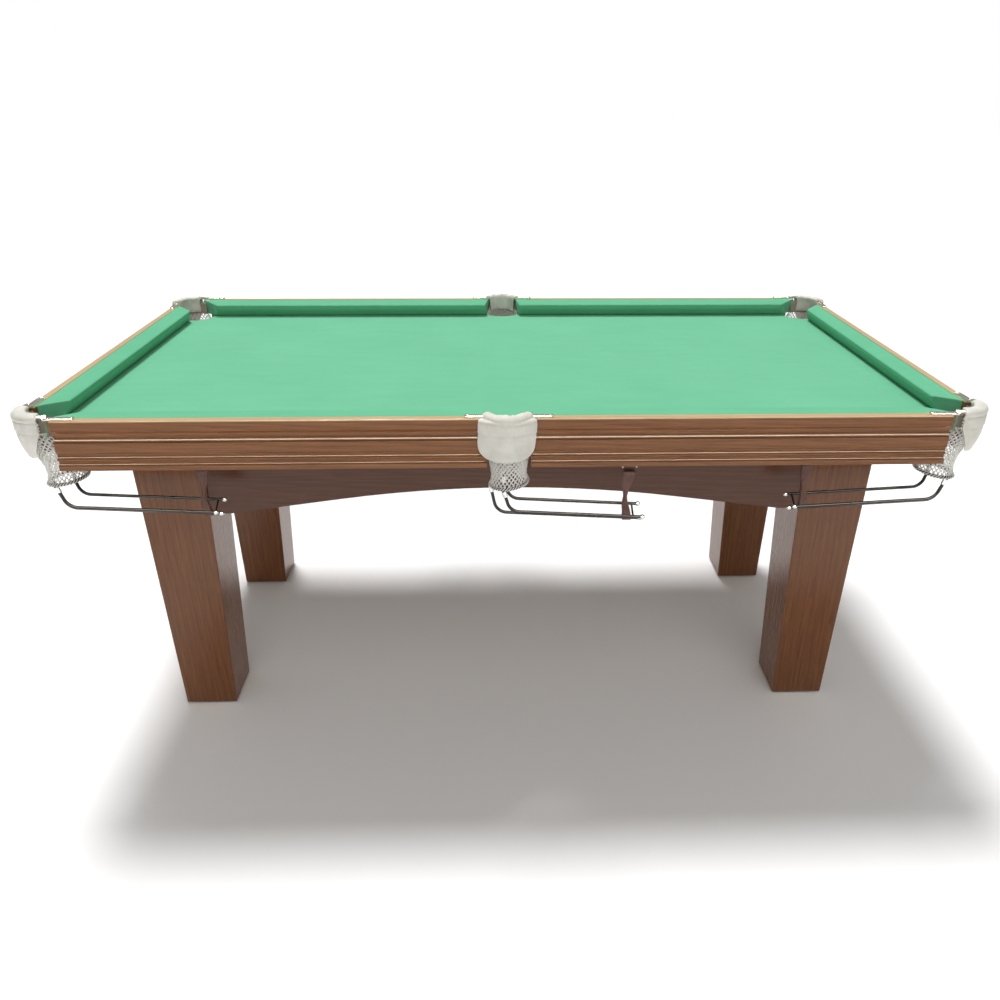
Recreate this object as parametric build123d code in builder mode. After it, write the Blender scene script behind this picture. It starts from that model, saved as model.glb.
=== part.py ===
from build123d import *
import os
from math import atan2, cos, degrees, radians, sin, sqrt

# A pool table with six net pockets, each with a wire ball runner.
# Frame: origin on the floor under the centre of the table, +X along the table, +Y across it, +Z up.

# ------------------------------------------------------------------ driving dimensions, in millimetres
HEIGHT = 833.0                    # top of the moulded panels
FRAME_X, FRAME_Y = 977.0, 529.0   # half sizes over the panels' outer faces
PLAY_X, PLAY_Y = 914.5, 457.0     # half sizes of the playing area, nose to nose
PANEL_HEIGHT = 105.0
PANEL_THICK = 18.0
SLAB_THICK = 18.0
CLOTH = 2.0                       # bed cloth
BED_DROP = 39.0                   # from the panels' top to the face of the bed cloth
CUSHION_CLOTH = 1.2
RUBBER_WIDTH = 20.0

CORNER_NOSE_X = 857.0             # end of a long cushion's nose beside a corner pocket
CORNER_NOSE_Y = 392.0             # end of an end cushion's nose
MIDDLE_NOSE_X = 52.0              # half the mouth of a middle pocket
MIDDLE_THROAT_X = 42.5            # half the throat of a middle pocket
CORNER_CENTRE = (928.0, 467.0)    # centre of a corner pocket's bow
MIDDLE_CENTRE = (0.0, 491.0)      # centre of a middle pocket's bow
PANEL_END_X = 893.0               # where a long panel stops at a corner pocket
PANEL_END_Y = 445.0               # where an end panel stops at a corner pocket
NOTCH_X = 45.0                    # half the gap between two long panels at a middle pocket

LEG_X, LEG_Y = 749.0, 287.0       # leg centres
LEG_FOOT, LEG_TOP = 124.0, 159.0  # leg width at the floor and under the frame
LEG_GAP = 5.0                     # from the floor to the underside of a leg

RING_TILT = 8.0                   # a ring is higher on the side where the balls leave it
RING_CORNER = (917.0, 457.0)      # centre of the ring under a corner net
RING_MIDDLE = (0.0, 497.0)
RING_Z = 682.0
RUN_CORNER, RUN_MIDDLE = 300.0, 275.0   # from a ring's centre to the ends of its rods

# ------------------------------------------------------------------ values worked out from them
BED_TOP = HEIGHT - BED_DROP
SLAB_TOP = BED_TOP - CLOTH
SLAB_BOTTOM = SLAB_TOP - SLAB_THICK
PANEL_BOTTOM = HEIGHT - PANEL_HEIGHT
INNER_X = FRAME_X - PANEL_THICK
INNER_Y = FRAME_Y - PANEL_THICK
SLAB_X = INNER_X - 0.5
SLAB_Y = INNER_Y - 0.5
BEAM_HEIGHT = SLAB_BOTTOM - PANEL_BOTTOM

FRONT, BACK, LEFT, RIGHT = (0, -1), (0, 1), (-1, 0), (1, 0)
LONG_SIDES = {"front": FRONT, "back": BACK}
SIGNS = (-1, 1)

os.makedirs("parts", exist_ok=True)


def save(part, label):
    """Labels a finished piece and writes it as a STEP file."""
    part.label = label
    export_step(part, f"parts/{label}.step")


def along(out):
    """Direction along a side of the table whose outward direction is out."""
    return (out[1], -out[0])


def side_plane(out, distance, t=0.0):
    """Section plane of a side: local X points outward, local Y points up, and the normal runs along."""
    run = along(out)
    origin = (out[0] * distance + run[0] * t, out[1] * distance + run[1] * t, 0)
    return Plane(origin=origin, x_dir=(out[0], out[1], 0), z_dir=(run[0], run[1], 0))


def plan_point(out, distance, t):
    """Point in plan at a distance outward from the centre and t along that side."""
    run = along(out)
    return (out[0] * distance + run[0] * t, out[1] * distance + run[1] * t)


# ------------------------------------------------------------------ bed: slab and cloth
CUT_RADIUS = 57.0                 # pocket cut-outs in the bed
MIDDLE_CUT_Y = PLAY_Y - 1 + CUT_RADIUS

CORNER_CUTS = [(sx * CORNER_CENTRE[0], sy * CORNER_CENTRE[1]) for sx in SIGNS for sy in SIGNS]
MIDDLE_CUTS = [(0, sy * MIDDLE_CUT_Y) for sy in SIGNS]

for bed_label, bed_z, bed_thick in (("bed_slab", SLAB_BOTTOM, SLAB_THICK), ("bed_cloth", SLAB_TOP, CLOTH)):
    with BuildPart() as bed:
        with BuildSketch(Plane.XY.offset(bed_z)):
            Rectangle(2 * SLAB_X, 2 * SLAB_Y)
            with Locations(*CORNER_CUTS, *MIDDLE_CUTS):
                Circle(CUT_RADIUS, mode=Mode.SUBTRACT)
        extrude(amount=bed_thick)
    save(bed.part, bed_label)

# ------------------------------------------------------------------ cushions: rail, rubber and cloth
NOSE_TOP = HEIGHT - 5.0
LIP_BOTTOM = NOSE_TOP - 12.0
UNDERCUT = 12.0
CUSHION_BACK = HEIGHT - 0.5       # height of the cloth where it meets the panel


def cushion_bar(out, nose, section, outline):
    """Bar with a section in (outward, height), trimmed in plan to an outline in (outward, along)."""
    with BuildPart() as bar:
        with BuildSketch(side_plane(out, nose)):
            with BuildLine():
                Polyline(*section, close=True)
            make_face()
        extrude(amount=FRAME_X, both=True)
        with BuildSketch(Plane.XY.offset(BED_TOP - 1)):
            with BuildLine():
                Polyline(*[plan_point(out, nose + s, t) for s, t in outline], close=True)
            make_face()
        extrude(amount=BED_DROP + 2, mode=Mode.INTERSECT)
    return bar.part


def top_height(s, depth):
    """Height of the sloping top of a cushion at s behind its nose."""
    return NOSE_TOP + (CUSHION_BACK - NOSE_TOP) * s / depth


def cushion(out, nose, depth, nose_ends, back_ends, end_inset):
    """Cloth wrap, rubber and wooden rail of one cushion."""
    skin = CUSHION_CLOTH
    wrap_section = [
        (0, NOSE_TOP), (depth, CUSHION_BACK), (depth, BED_TOP), (UNDERCUT, BED_TOP), (0, LIP_BOTTOM),
    ]
    rubber_section = [
        (skin, top_height(skin, depth) - skin),
        (RUBBER_WIDTH, top_height(RUBBER_WIDTH, depth) - skin),
        (RUBBER_WIDTH, BED_TOP + skin),
        (UNDERCUT + skin, BED_TOP + skin),
        (skin, LIP_BOTTOM),
    ]
    rail_section = [
        (RUBBER_WIDTH, top_height(RUBBER_WIDTH, depth) - skin),
        (depth, CUSHION_BACK - skin),
        (depth, BED_TOP + skin),
        (RUBBER_WIDTH, BED_TOP + skin),
    ]
    wrap_plan = [(0, nose_ends[0]), (0, nose_ends[1]), (depth, back_ends[1]), (depth, back_ends[0])]
    core_plan = [
        (0, nose_ends[0] + end_inset[0]),
        (0, nose_ends[1] - end_inset[1]),
        (depth + 1, back_ends[1] - end_inset[1]),
        (depth + 1, back_ends[0] + end_inset[0]),
    ]
    rubber = cushion_bar(out, nose, rubber_section, core_plan)
    rail = cushion_bar(out, nose, rail_section, core_plan)
    with BuildPart() as wrap:
        add(cushion_bar(out, nose, wrap_section, wrap_plan))
        add(rubber, mode=Mode.SUBTRACT)
        add(rail, mode=Mode.SUBTRACT)
    return wrap.part, rubber, rail


LONG_DEPTH = INNER_Y - PLAY_Y
END_DEPTH = INNER_X - PLAY_X
CORNER_INSET = CUSHION_CLOTH * sqrt(2)
cushions = {}
for side, out in LONG_SIDES.items():
    for hand, sx in (("left", -1), ("right", 1)):
        sign = sx * along(out)[0]
        nose_ends = (MIDDLE_NOSE_X, CORNER_NOSE_X)
        back_ends = (MIDDLE_THROAT_X, CORNER_NOSE_X + LONG_DEPTH)
        insets = (CUSHION_CLOTH, CORNER_INSET)
        if sign < 0:
            nose_ends = (-nose_ends[1], -nose_ends[0])
            back_ends = (-back_ends[1], -back_ends[0])
            insets = (insets[1], insets[0])
        cushions[f"{side}_{hand}"] = cushion(out, PLAY_Y, LONG_DEPTH, nose_ends, back_ends, insets)
END_BACK_Y = CORNER_NOSE_Y + END_DEPTH
for hand, out in (("left_end", LEFT), ("right_end", RIGHT)):
    nose_ends = (-CORNER_NOSE_Y, CORNER_NOSE_Y)
    back_ends = (-END_BACK_Y, END_BACK_Y)
    insets = (CORNER_INSET, CORNER_INSET)
    cushions[hand] = cushion(out, PLAY_X, END_DEPTH, nose_ends, back_ends, insets)

for place, (wrap, rubber, rail) in cushions.items():
    save(wrap, f"cushion_cloth_{place}")
with BuildPart() as cushion_rubbers:
    for wrap, rubber, rail in cushions.values():
        add(rubber)
save(cushion_rubbers.part, "cushion_rubbers")
with BuildPart() as cushion_rails:
    for wrap, rubber, rail in cushions.values():
        add(rail)
save(cushion_rails.part, "cushion_rails")


# ------------------------------------------------------------------ moulded panels round the frame
FASCIA = 22.0                     # plain band at the top
ROUNDOVER = 3.0
LEDGE = 46.0                      # bottom of the wide flute
FLUTES = ((FASCIA, LEDGE, 1.5, 7.5), (67.0, 80.0, 1.0, 4.5), (83.0, 95.0, 0.0, 4.5))


def panel(out, face, start, end):
    """Panel with one wide and two narrow flutes, from start to end along its side."""
    with BuildPart() as board:
        with BuildSketch(side_plane(out, face, start)):
            with BuildLine():
                Line((-ROUNDOVER, HEIGHT), (-PANEL_THICK, HEIGHT))
                Line((-PANEL_THICK, HEIGHT), (-PANEL_THICK, PANEL_BOTTOM))
                Line((-PANEL_THICK, PANEL_BOTTOM), (0, PANEL_BOTTOM))
                RadiusArc((-ROUNDOVER, HEIGHT), (0, HEIGHT - ROUNDOVER), ROUNDOVER)
                last = (0, HEIGHT - ROUNDOVER)
                for top, bottom, quirk, depth in FLUTES:
                    Line(last, (last[0], HEIGHT - top))
                    start_x = last[0] if quirk == 0 else -quirk
                    if start_x != last[0]:
                        Line((last[0], HEIGHT - top), (start_x, HEIGHT - top))
                    middle = HEIGHT - (top + bottom) / 2
                    ThreePointArc((start_x, HEIGHT - top), (-depth, middle), (0, HEIGHT - bottom))
                    last = (0, HEIGHT - bottom)
                Line(last, (0, PANEL_BOTTOM))
            make_face()
        extrude(amount=end - start)
    return board.part


for side, out in LONG_SIDES.items():
    with BuildPart() as long_panels:
        add(panel(out, FRAME_Y, NOTCH_X, PANEL_END_X))
        add(panel(out, FRAME_Y, -PANEL_END_X, -NOTCH_X))
    save(long_panels.part, f"{side}_panels")
for side, out in (("left", LEFT), ("right", RIGHT)):
    save(panel(out, FRAME_X, -PANEL_END_Y, PANEL_END_Y), f"{side}_end_panel")

# ------------------------------------------------------------------ beams under the slab
EDGE_BEAM = 70.0                  # width of the beams inside the long panels
END_BEAM = 58.0
LEG_BEAM = 110.0                  # width of the cross beams over the legs
MID_BEAM = 44.0
EDGE_START, EDGE_STOP = 72.0, 848.0
EDGE_Y = SLAB_Y - EDGE_BEAM / 2
END_BEAM_X = SLAB_X - END_BEAM / 2
CROSS_HALF = SLAB_Y - EDGE_BEAM - 0.2
MID_X = 250.0

with BuildPart() as bed_beams:
    with Locations((0, 0, PANEL_BOTTOM + BEAM_HEIGHT / 2)):
        with GridLocations(EDGE_START + EDGE_STOP, 2 * EDGE_Y, 2, 2):
            Box(EDGE_STOP - EDGE_START, EDGE_BEAM, BEAM_HEIGHT)
        with GridLocations(2 * END_BEAM_X, 0, 2, 1):
            Box(END_BEAM, 2 * (PANEL_END_Y - 60), BEAM_HEIGHT)
        with GridLocations(2 * LEG_X, 0, 2, 1):
            Box(LEG_BEAM, 2 * CROSS_HALF, BEAM_HEIGHT)
        with GridLocations(2 * MID_X, 0, 2, 1):
            Box(MID_BEAM, 2 * CROSS_HALF, BEAM_HEIGHT)
save(bed_beams.part, "bed_beams")

# ------------------------------------------------------------------ legs, levelling feet and their inserts
STEM_RADIUS = 5.0
INSERT_RADIUS, INSERT_LENGTH = 8.0, 34.0
STEM_TOP = 66.0
BORE_TOP = 70.0
PAD_RADIUS, PAD_THICK = 30.0, 4.5
EDGE_ROUND = 2.0
LEG_PLACES = {
    "front_left": (-LEG_X, -LEG_Y),
    "front_right": (LEG_X, -LEG_Y),
    "back_left": (-LEG_X, LEG_Y),
    "back_right": (LEG_X, LEG_Y),
}
UPRIGHT = (Align.CENTER, Align.CENTER, Align.MIN)

for place, (leg_x, leg_y) in LEG_PLACES.items():
    with BuildPart() as leg:
        for height, width in ((LEG_GAP, LEG_FOOT), (PANEL_BOTTOM, LEG_TOP)):
            with BuildSketch(Plane(origin=(leg_x, leg_y, height))):
                Rectangle(width, width)
        loft()
        fillet(leg.edges().filter_by(lambda edge: edge.length > PANEL_BOTTOM / 2), EDGE_ROUND)
        with Locations((leg_x, leg_y, LEG_GAP)):
            Cylinder(INSERT_RADIUS, INSERT_LENGTH, align=UPRIGHT, mode=Mode.SUBTRACT)
            Cylinder(STEM_RADIUS + 1, BORE_TOP - LEG_GAP, align=UPRIGHT, mode=Mode.SUBTRACT)
    save(leg.part, f"leg_{place}")

    with BuildPart() as foot:
        with Locations((leg_x, leg_y, 0)):
            Cylinder(PAD_RADIUS, PAD_THICK, align=UPRIGHT)
        chamfer(foot.faces().sort_by(Axis.Z)[-1].edges(), 1.5)
        with Locations((leg_x, leg_y, 0)):
            Cylinder(STEM_RADIUS, STEM_TOP, align=UPRIGHT)
    save(foot.part, f"levelling_foot_{place}")

with BuildPart() as leveller_inserts:
    with Locations(*[(x, y, LEG_GAP) for x, y in LEG_PLACES.values()]):
        Cylinder(INSERT_RADIUS, INSERT_LENGTH, align=UPRIGHT)
        Cylinder(STEM_RADIUS + 0.06, INSERT_LENGTH, align=UPRIGHT, mode=Mode.SUBTRACT)
save(leveller_inserts.part, "leveller_inserts")

# ------------------------------------------------------------------ arched aprons between the legs
APRON_THICK = 18.0
APRON_FRONT = 358.0               # front face of a long apron, from the table's centre line
APRON_END = 820.0                 # outer face of an end apron
APRON_FLAT = 41.0                 # level stretch of the lower edge beside a leg
LEG_SLOPE = (LEG_TOP - LEG_FOOT) / 2 / (PANEL_BOTTOM - LEG_GAP)


def leg_half(height):
    """Half width of a leg at a height."""
    return LEG_FOOT / 2 + LEG_SLOPE * (height - LEG_GAP)


def apron(out, face, leg_centre, low, crown, arc_half):
    """Board with a lower edge that rises from both legs to a shallow arch."""
    top_end = leg_centre - leg_half(PANEL_BOTTOM) - 0.2
    low_end = leg_centre - leg_half(low) - 0.2
    foot_end = top_end - APRON_FLAT
    rise = (crown - low) * 2 * (foot_end - arc_half) / (2 * foot_end - arc_half)
    run = along(out)
    face_plane = Plane(
        origin=(out[0] * face, out[1] * face, 0), x_dir=(-run[0], -run[1], 0), z_dir=(out[0], out[1], 0)
    )
    with BuildPart() as board:
        with BuildSketch(face_plane):
            with BuildLine():
                Polyline(
                    (arc_half, low + rise),
                    (foot_end, low),
                    (low_end, low),
                    (top_end, PANEL_BOTTOM),
                    (-top_end, PANEL_BOTTOM),
                    (-low_end, low),
                    (-foot_end, low),
                    (-arc_half, low + rise),
                )
                ThreePointArc((-arc_half, low + rise), (0, crown), (arc_half, low + rise))
            make_face()
        extrude(amount=-APRON_THICK)
    return board.part


with BuildPart() as long_aprons:
    for out in (FRONT, BACK):
        add(apron(out, APRON_FRONT, LEG_X, 543.0, 602.0, 380.0))
save(long_aprons.part, "long_aprons")
with BuildPart() as end_aprons:
    for out in (LEFT, RIGHT):
        add(apron(out, APRON_END, LEG_Y, 560.0, 592.0, 90.0))
save(end_aprons.part, "end_aprons")

# ------------------------------------------------------------------ pocket irons, leathers and nets
BOW_RADIUS, BOW_ROD = 50.0, 3.5
BOW_Z = HEIGHT + 4.5
ROLL_IN, ROLL_OUT = 38.0, 61.0    # the leather roll over the bow, measured from the bow's centre
CORNER_ROLL_IN = 33.0             # a corner roll reaches further in over its liner
ROLL_BASE, ROLL_TOP = HEIGHT + 0.3, HEIGHT + 10.0
LINER_THICK = 3.0
LINER_BOTTOM = HEIGHT - 38.0
FLAP_BOTTOM = HEIGHT - 86.0
BAND_BOTTOM = HEIGHT - 30.0
BAND_PROUD = 0.8
CORNER_FLAP = ((59.5, 803.0), (58.6, 792.0), (55.5, 775.0), (51.8, 760.0), (47.5, FLAP_BOTTOM))
CORNER_LEATHER_SPREAD = 54.0      # half the angle that a corner leather covers
FLAP_HALF = 58.0
FLAP_THICK = 3.0
FINGER_WIDTH, FINGER_THICK = 13.0, 3.0
CORNER_SPREAD, MIDDLE_SPREAD = 72.4, 62.6   # half the angle that each bow covers
CORNER_FINGER = (905.0, 849.0, 517.5)       # start, tip and line of a finger on a long panel
END_FINGER = (444.0, 392.0, 966.5)
MIDDLE_FINGER = (44.4, 88.0, 517.5)
NET_TOP, NET_BOTTOM = SLAB_BOTTOM - 1.0, 695.0
NET_TOP_RADIUS, NET_FOOT_RADIUS, NET_THICK = 41.0, 39.8, 2.0
SCREW_STEPS = (0.36, 0.86)        # places of the screws along a finger

POCKETS = {}
for side_y, sy in (("front", -1), ("back", 1)):
    for side_x, sx in (("left", -1), ("middle", 0), ("right", 1)):
        if sx == 0:
            centre = (0.0, sy * MIDDLE_CENTRE[1])
            ring = (0.0, sy * RING_MIDDLE[1])
            angle = 90.0 * sy
        else:
            centre = (sx * CORNER_CENTRE[0], sy * CORNER_CENTRE[1])
            ring = (sx * RING_CORNER[0], sy * RING_CORNER[1])
            angle = degrees(atan2(sy, sx))
        POCKETS[f"{side_y}_{side_x}"] = {
            "centre": centre,
            "ring": ring,
            "angle": angle,
            "corner": sx != 0,
            "sx": sx,
            "sy": sy,
            "run": -sx if sx else -sy,
        }


def pocket_plane(pocket, height):
    """Level plane at a pocket's bow centre, with local X pointing out of the table."""
    turn = radians(pocket["angle"])
    return Plane(origin=(*pocket["centre"], height), x_dir=(cos(turn), sin(turn), 0), z_dir=(0, 0, 1))


def sector(pocket, bottom, top, inner, outer, spread):
    """Block over a sector of a ring round a pocket's bow centre."""
    reach = 3 * outer
    turn = radians(spread)
    with BuildPart() as block:
        with BuildSketch(pocket_plane(pocket, bottom)):
            Circle(outer)
            Circle(inner, mode=Mode.SUBTRACT)
            with BuildLine():
                Polyline(
                    (0, 0),
                    (reach * cos(turn), reach * sin(turn)),
                    (2 * reach, 0),
                    (reach * cos(turn), -reach * sin(turn)),
                    close=True,
                )
            make_face(mode=Mode.INTERSECT)
        extrude(amount=top - bottom)
    return block.part


def fingers(pocket):
    """Start and tip in plan of the two finger plates of a pocket iron."""
    sx, sy = pocket["sx"], pocket["sy"]
    if pocket["corner"]:
        long_start, long_tip, long_line = CORNER_FINGER
        end_start, end_tip, end_line = END_FINGER
        return [
            ((sx * long_start, sy * long_line), (sx * long_tip, sy * long_line)),
            ((sx * end_line, sy * end_start), (sx * end_line, sy * end_tip)),
        ]
    start, tip, line = MIDDLE_FINGER
    return [((hand * start, sy * line), (hand * tip, sy * line)) for hand in SIGNS]


def screw_places(pocket):
    """Plan positions of the screws in a pocket iron."""
    places = []
    for start, tip in fingers(pocket):
        for step in SCREW_STEPS:
            places.append((start[0] + (tip[0] - start[0]) * step, start[1] + (tip[1] - start[1]) * step))
    return places


def iron_solid(pocket):
    """Bow of round rod with a flat finger plate on the rail at each end."""
    spread = CORNER_SPREAD if pocket["corner"] else MIDDLE_SPREAD
    with BuildPart() as iron:
        with BuildLine(pocket_plane(pocket, BOW_Z)):
            bow = CenterArc((0, 0), BOW_RADIUS, -spread, 2 * spread)
        with BuildSketch(Plane(origin=bow @ 0, z_dir=bow % 0)):
            Circle(BOW_ROD)
        sweep()
        for start, tip in fingers(pocket):
            length = sqrt((tip[0] - start[0]) ** 2 + (tip[1] - start[1]) ** 2)
            run = ((tip[0] - start[0]) / length, (tip[1] - start[1]) / length, 0)
            with BuildSketch(Plane(origin=(*start, HEIGHT), x_dir=run, z_dir=(0, 0, 1))):
                with Locations((length / 2 - FINGER_WIDTH / 4, 0)):
                    Rectangle(length - FINGER_WIDTH / 2, FINGER_WIDTH)
                with Locations((length - FINGER_WIDTH / 2, 0)):
                    Circle(FINGER_WIDTH / 2)
                with Locations((0, 0)):
                    Circle(FINGER_WIDTH / 2)
            extrude(amount=FINGER_THICK)
        with Locations(*[(x, y, HEIGHT + FINGER_THICK) for x, y in screw_places(pocket)]):
            CounterSinkHole(radius=1.9, counter_sink_radius=3.6, depth=FINGER_THICK + 1)
    return iron.part


def flap_arc_radius():
    """Plan radius of the flat arc that a middle flap follows in front of the panels."""
    front = FRAME_Y + 2.6
    apex = MIDDLE_CENTRE[1] + ROLL_OUT - 1.0
    rise = apex - front
    return (FLAP_HALF ** 2 + rise ** 2) / (2 * rise), apex


def corner_leather(pocket):
    """Turned shape of a corner leather: liner, roll, band and a flap that leans in towards the net."""
    start = radians(pocket["angle"] - CORNER_LEATHER_SPREAD)
    skirt = ROLL_OUT - 1.5
    with BuildPart() as leather:
        with BuildSketch(Plane(
            origin=(*pocket["centre"], 0),
            x_dir=(cos(start), sin(start), 0),
            z_dir=(sin(start), -cos(start), 0),
        )):
            with BuildLine():
                Polyline(
                    (ROLL_IN, LINER_BOTTOM),
                    (ROLL_IN, ROLL_BASE),
                    (CORNER_ROLL_IN, ROLL_BASE),
                    (CORNER_ROLL_IN, ROLL_TOP - 4),
                    (CORNER_ROLL_IN + 4, ROLL_TOP),
                    (ROLL_OUT - 7, ROLL_TOP),
                    (ROLL_OUT, ROLL_TOP - 5),
                    (ROLL_OUT, ROLL_BASE - 3),
                    (skirt + BAND_PROUD, ROLL_BASE - 4.5),
                    (skirt + BAND_PROUD, BAND_BOTTOM),
                    *CORNER_FLAP,
                    *[(radius - FLAP_THICK, height) for radius, height in reversed(CORNER_FLAP)],
                    (skirt - FLAP_THICK, ROLL_BASE),
                    (ROLL_IN + LINER_THICK, ROLL_BASE),
                    (ROLL_IN + LINER_THICK, LINER_BOTTOM),
                    close=True,
                )
            make_face()
        revolve(axis=Axis((*pocket["centre"], 0), (0, 0, 1)), revolution_arc=2 * CORNER_LEATHER_SPREAD)
    return leather.part


def middle_leather(pocket):
    """Roll, liner, band and the flat-arched flap of a middle leather."""
    radius, apex = flap_arc_radius()
    middle = apex - MIDDLE_CENTRE[1] - radius
    chord = FRAME_Y + 0.8 - MIDDLE_CENTRE[1]
    with BuildPart() as leather:
        add(sector(pocket, ROLL_BASE, ROLL_TOP, ROLL_IN, ROLL_OUT, MIDDLE_SPREAD))
        add(sector(pocket, LINER_BOTTOM, ROLL_BASE, ROLL_IN, ROLL_IN + LINER_THICK, MIDDLE_SPREAD - 2.6))
        with BuildSketch(pocket_plane(pocket, FLAP_BOTTOM)):
            with Locations((middle, 0)):
                Circle(radius)
                Circle(radius - FLAP_THICK, mode=Mode.SUBTRACT)
            with Locations((chord + 50, 0)):
                Rectangle(100, 2 * FLAP_HALF, mode=Mode.INTERSECT)
        extrude(amount=ROLL_TOP - 4 - FLAP_BOTTOM)
        with BuildSketch(pocket_plane(pocket, BAND_BOTTOM)):
            with Locations((middle, 0)):
                Circle(radius - 1)
            with Locations((chord + 50, 0)):
                Rectangle(100, 2 * FLAP_HALF - 8, mode=Mode.INTERSECT)
        extrude(amount=ROLL_BASE - BAND_BOTTOM)
    return leather.part


def leather_solid(pocket, iron):
    """A pocket's leather, with its flap rounded below and room inside for the iron."""
    corner = pocket["corner"]
    half = ROLL_OUT * sin(radians(CORNER_LEATHER_SPREAD)) + 1 if corner else FLAP_HALF + 1
    side = HEIGHT - 66 if corner else HEIGHT - 52
    turn = radians(pocket["angle"])
    outward = Plane(
        origin=(*pocket["centre"], 0),
        x_dir=(-sin(turn), cos(turn), 0),
        z_dir=(cos(turn), sin(turn), 0),
    )
    with BuildPart() as leather:
        add(corner_leather(pocket) if corner else middle_leather(pocket))
        with BuildSketch(outward):
            with BuildLine():
                Line((half, side), (half, HEIGHT + 20))
                Line((half, HEIGHT + 20), (-half, HEIGHT + 20))
                Line((-half, HEIGHT + 20), (-half, side))
                Spline(
                    (-half, side), (0, FLAP_BOTTOM), (half, side),
                    tangents=((0, -1), (0, 1)), tangent_scalars=(1.6, 1.6),
                )
            make_face()
        extrude(amount=2 * ROLL_OUT, mode=Mode.INTERSECT)
        add(iron, mode=Mode.SUBTRACT)
    return leather.part


NET_SIDES = 8
irons = {}
for place, pocket in POCKETS.items():
    irons[place] = iron_solid(pocket)
    save(leather_solid(pocket, irons[place]), f"pocket_leather_{place}")
    with BuildPart() as net:
        for grow, mode in ((0, Mode.ADD), (-NET_THICK, Mode.SUBTRACT)):
            for height, radius in ((NET_TOP, NET_TOP_RADIUS), (NET_BOTTOM, NET_FOOT_RADIUS)):
                with BuildSketch(Plane(origin=(*pocket["ring"], height))):
                    RegularPolygon(radius + grow, NET_SIDES)
            loft(mode=mode)
    save(net.part, f"pocket_net_{place}")

with BuildPart() as pocket_irons:
    for iron in irons.values():
        add(iron)
save(pocket_irons.part, "pocket_irons")

# ------------------------------------------------------------------ ball runners
ROD = 3.4                         # radius of a coated rod
RING_RADIUS, RING_WIRE = 38.0, 3.0
CRADLE_HALF = 31.0                # the side rods, either side of the bottom rod
CRADLE_RISE = 18.0                # how much higher the side rods lie
BOTTOM_START, BOTTOM_END = 610.0, 594.0     # height of the bottom rod at the ring and at its end
CORNER_LEAN, MIDDLE_LEAN, SIDE_LEAN = 24.0, 12.0, 14.0    # how far the rods' legs lean along the run
SIDE_START = -12.0                # where the side rods leave the ring, along the run
ROD_BEND, WIRE_BEND = 28.0, 6.0
FERRULE, FERRULE_LENGTH = 5.0, 13.0
CAP, CAP_OUT = 5.2, 3.2
WIRE, WIRE_BACK = 2.0, 10.0       # the wire that joins the three rods before their ends
WELD_GAP = 0.05
HANGER_BACK = 25.0                # from a rod's end back to the middle of the strap
BAR_Z, BAR_RADIUS, BAR_FIT = 718.0, 2.5, 0.08
STRAP_THICK, STRAP_WIDTH, STRAP_WAIST = 2.4, 26.0, 10.0
LOOP_HALF = 9.0                   # half the strap's width round the bottom rod
WAIST_Z = 642.0
CHEEK = STRAP_WIDTH / 2 + 0.6     # inner faces of a hanger's cheeks
HANGER_SCREW = 24.0


def ring_z(offset):
    """Height of the tilted ring's centre line at an offset along the run."""
    return RING_Z + offset * sin(radians(RING_TILT))


def runner_routes(length, lean):
    """Route of each rod from the ring to its end, bottom rod first, with the run along +X."""
    slope = (BOTTOM_START - BOTTOM_END) / length
    routes = [[
        Vector(-RING_RADIUS - 1, 0, ring_z(-RING_RADIUS)),
        Vector(-RING_RADIUS + lean, 0, BOTTOM_START - slope * (lean - RING_RADIUS)),
        Vector(length, 0, BOTTOM_END),
    ]]
    edge = sqrt(RING_RADIUS ** 2 - SIDE_START ** 2)
    turn_x = SIDE_START + SIDE_LEAN
    for hand in SIGNS:
        routes.append([
            Vector(SIDE_START, hand * edge, ring_z(SIDE_START)),
            Vector(turn_x, hand * CRADLE_HALF, BOTTOM_START + CRADLE_RISE - slope * turn_x),
            Vector(length, hand * CRADLE_HALF, BOTTOM_END + CRADLE_RISE),
        ])
    return routes


def rod_part(path_points, radius, bends):
    """Round rod along straight runs with one rounded bend at each inner point."""
    with BuildPart() as rod:
        with BuildLine():
            path = FilletPolyline(*path_points, radius=bends)
        with BuildSketch(Plane(origin=path @ 0, z_dir=path % 0)):
            Circle(radius)
        sweep()
    return rod.part


def rod_point(route, distance):
    """Point of a rod's straight run at a distance before its end."""
    return route[2] + (route[1] - route[2]).normalized() * distance


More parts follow.
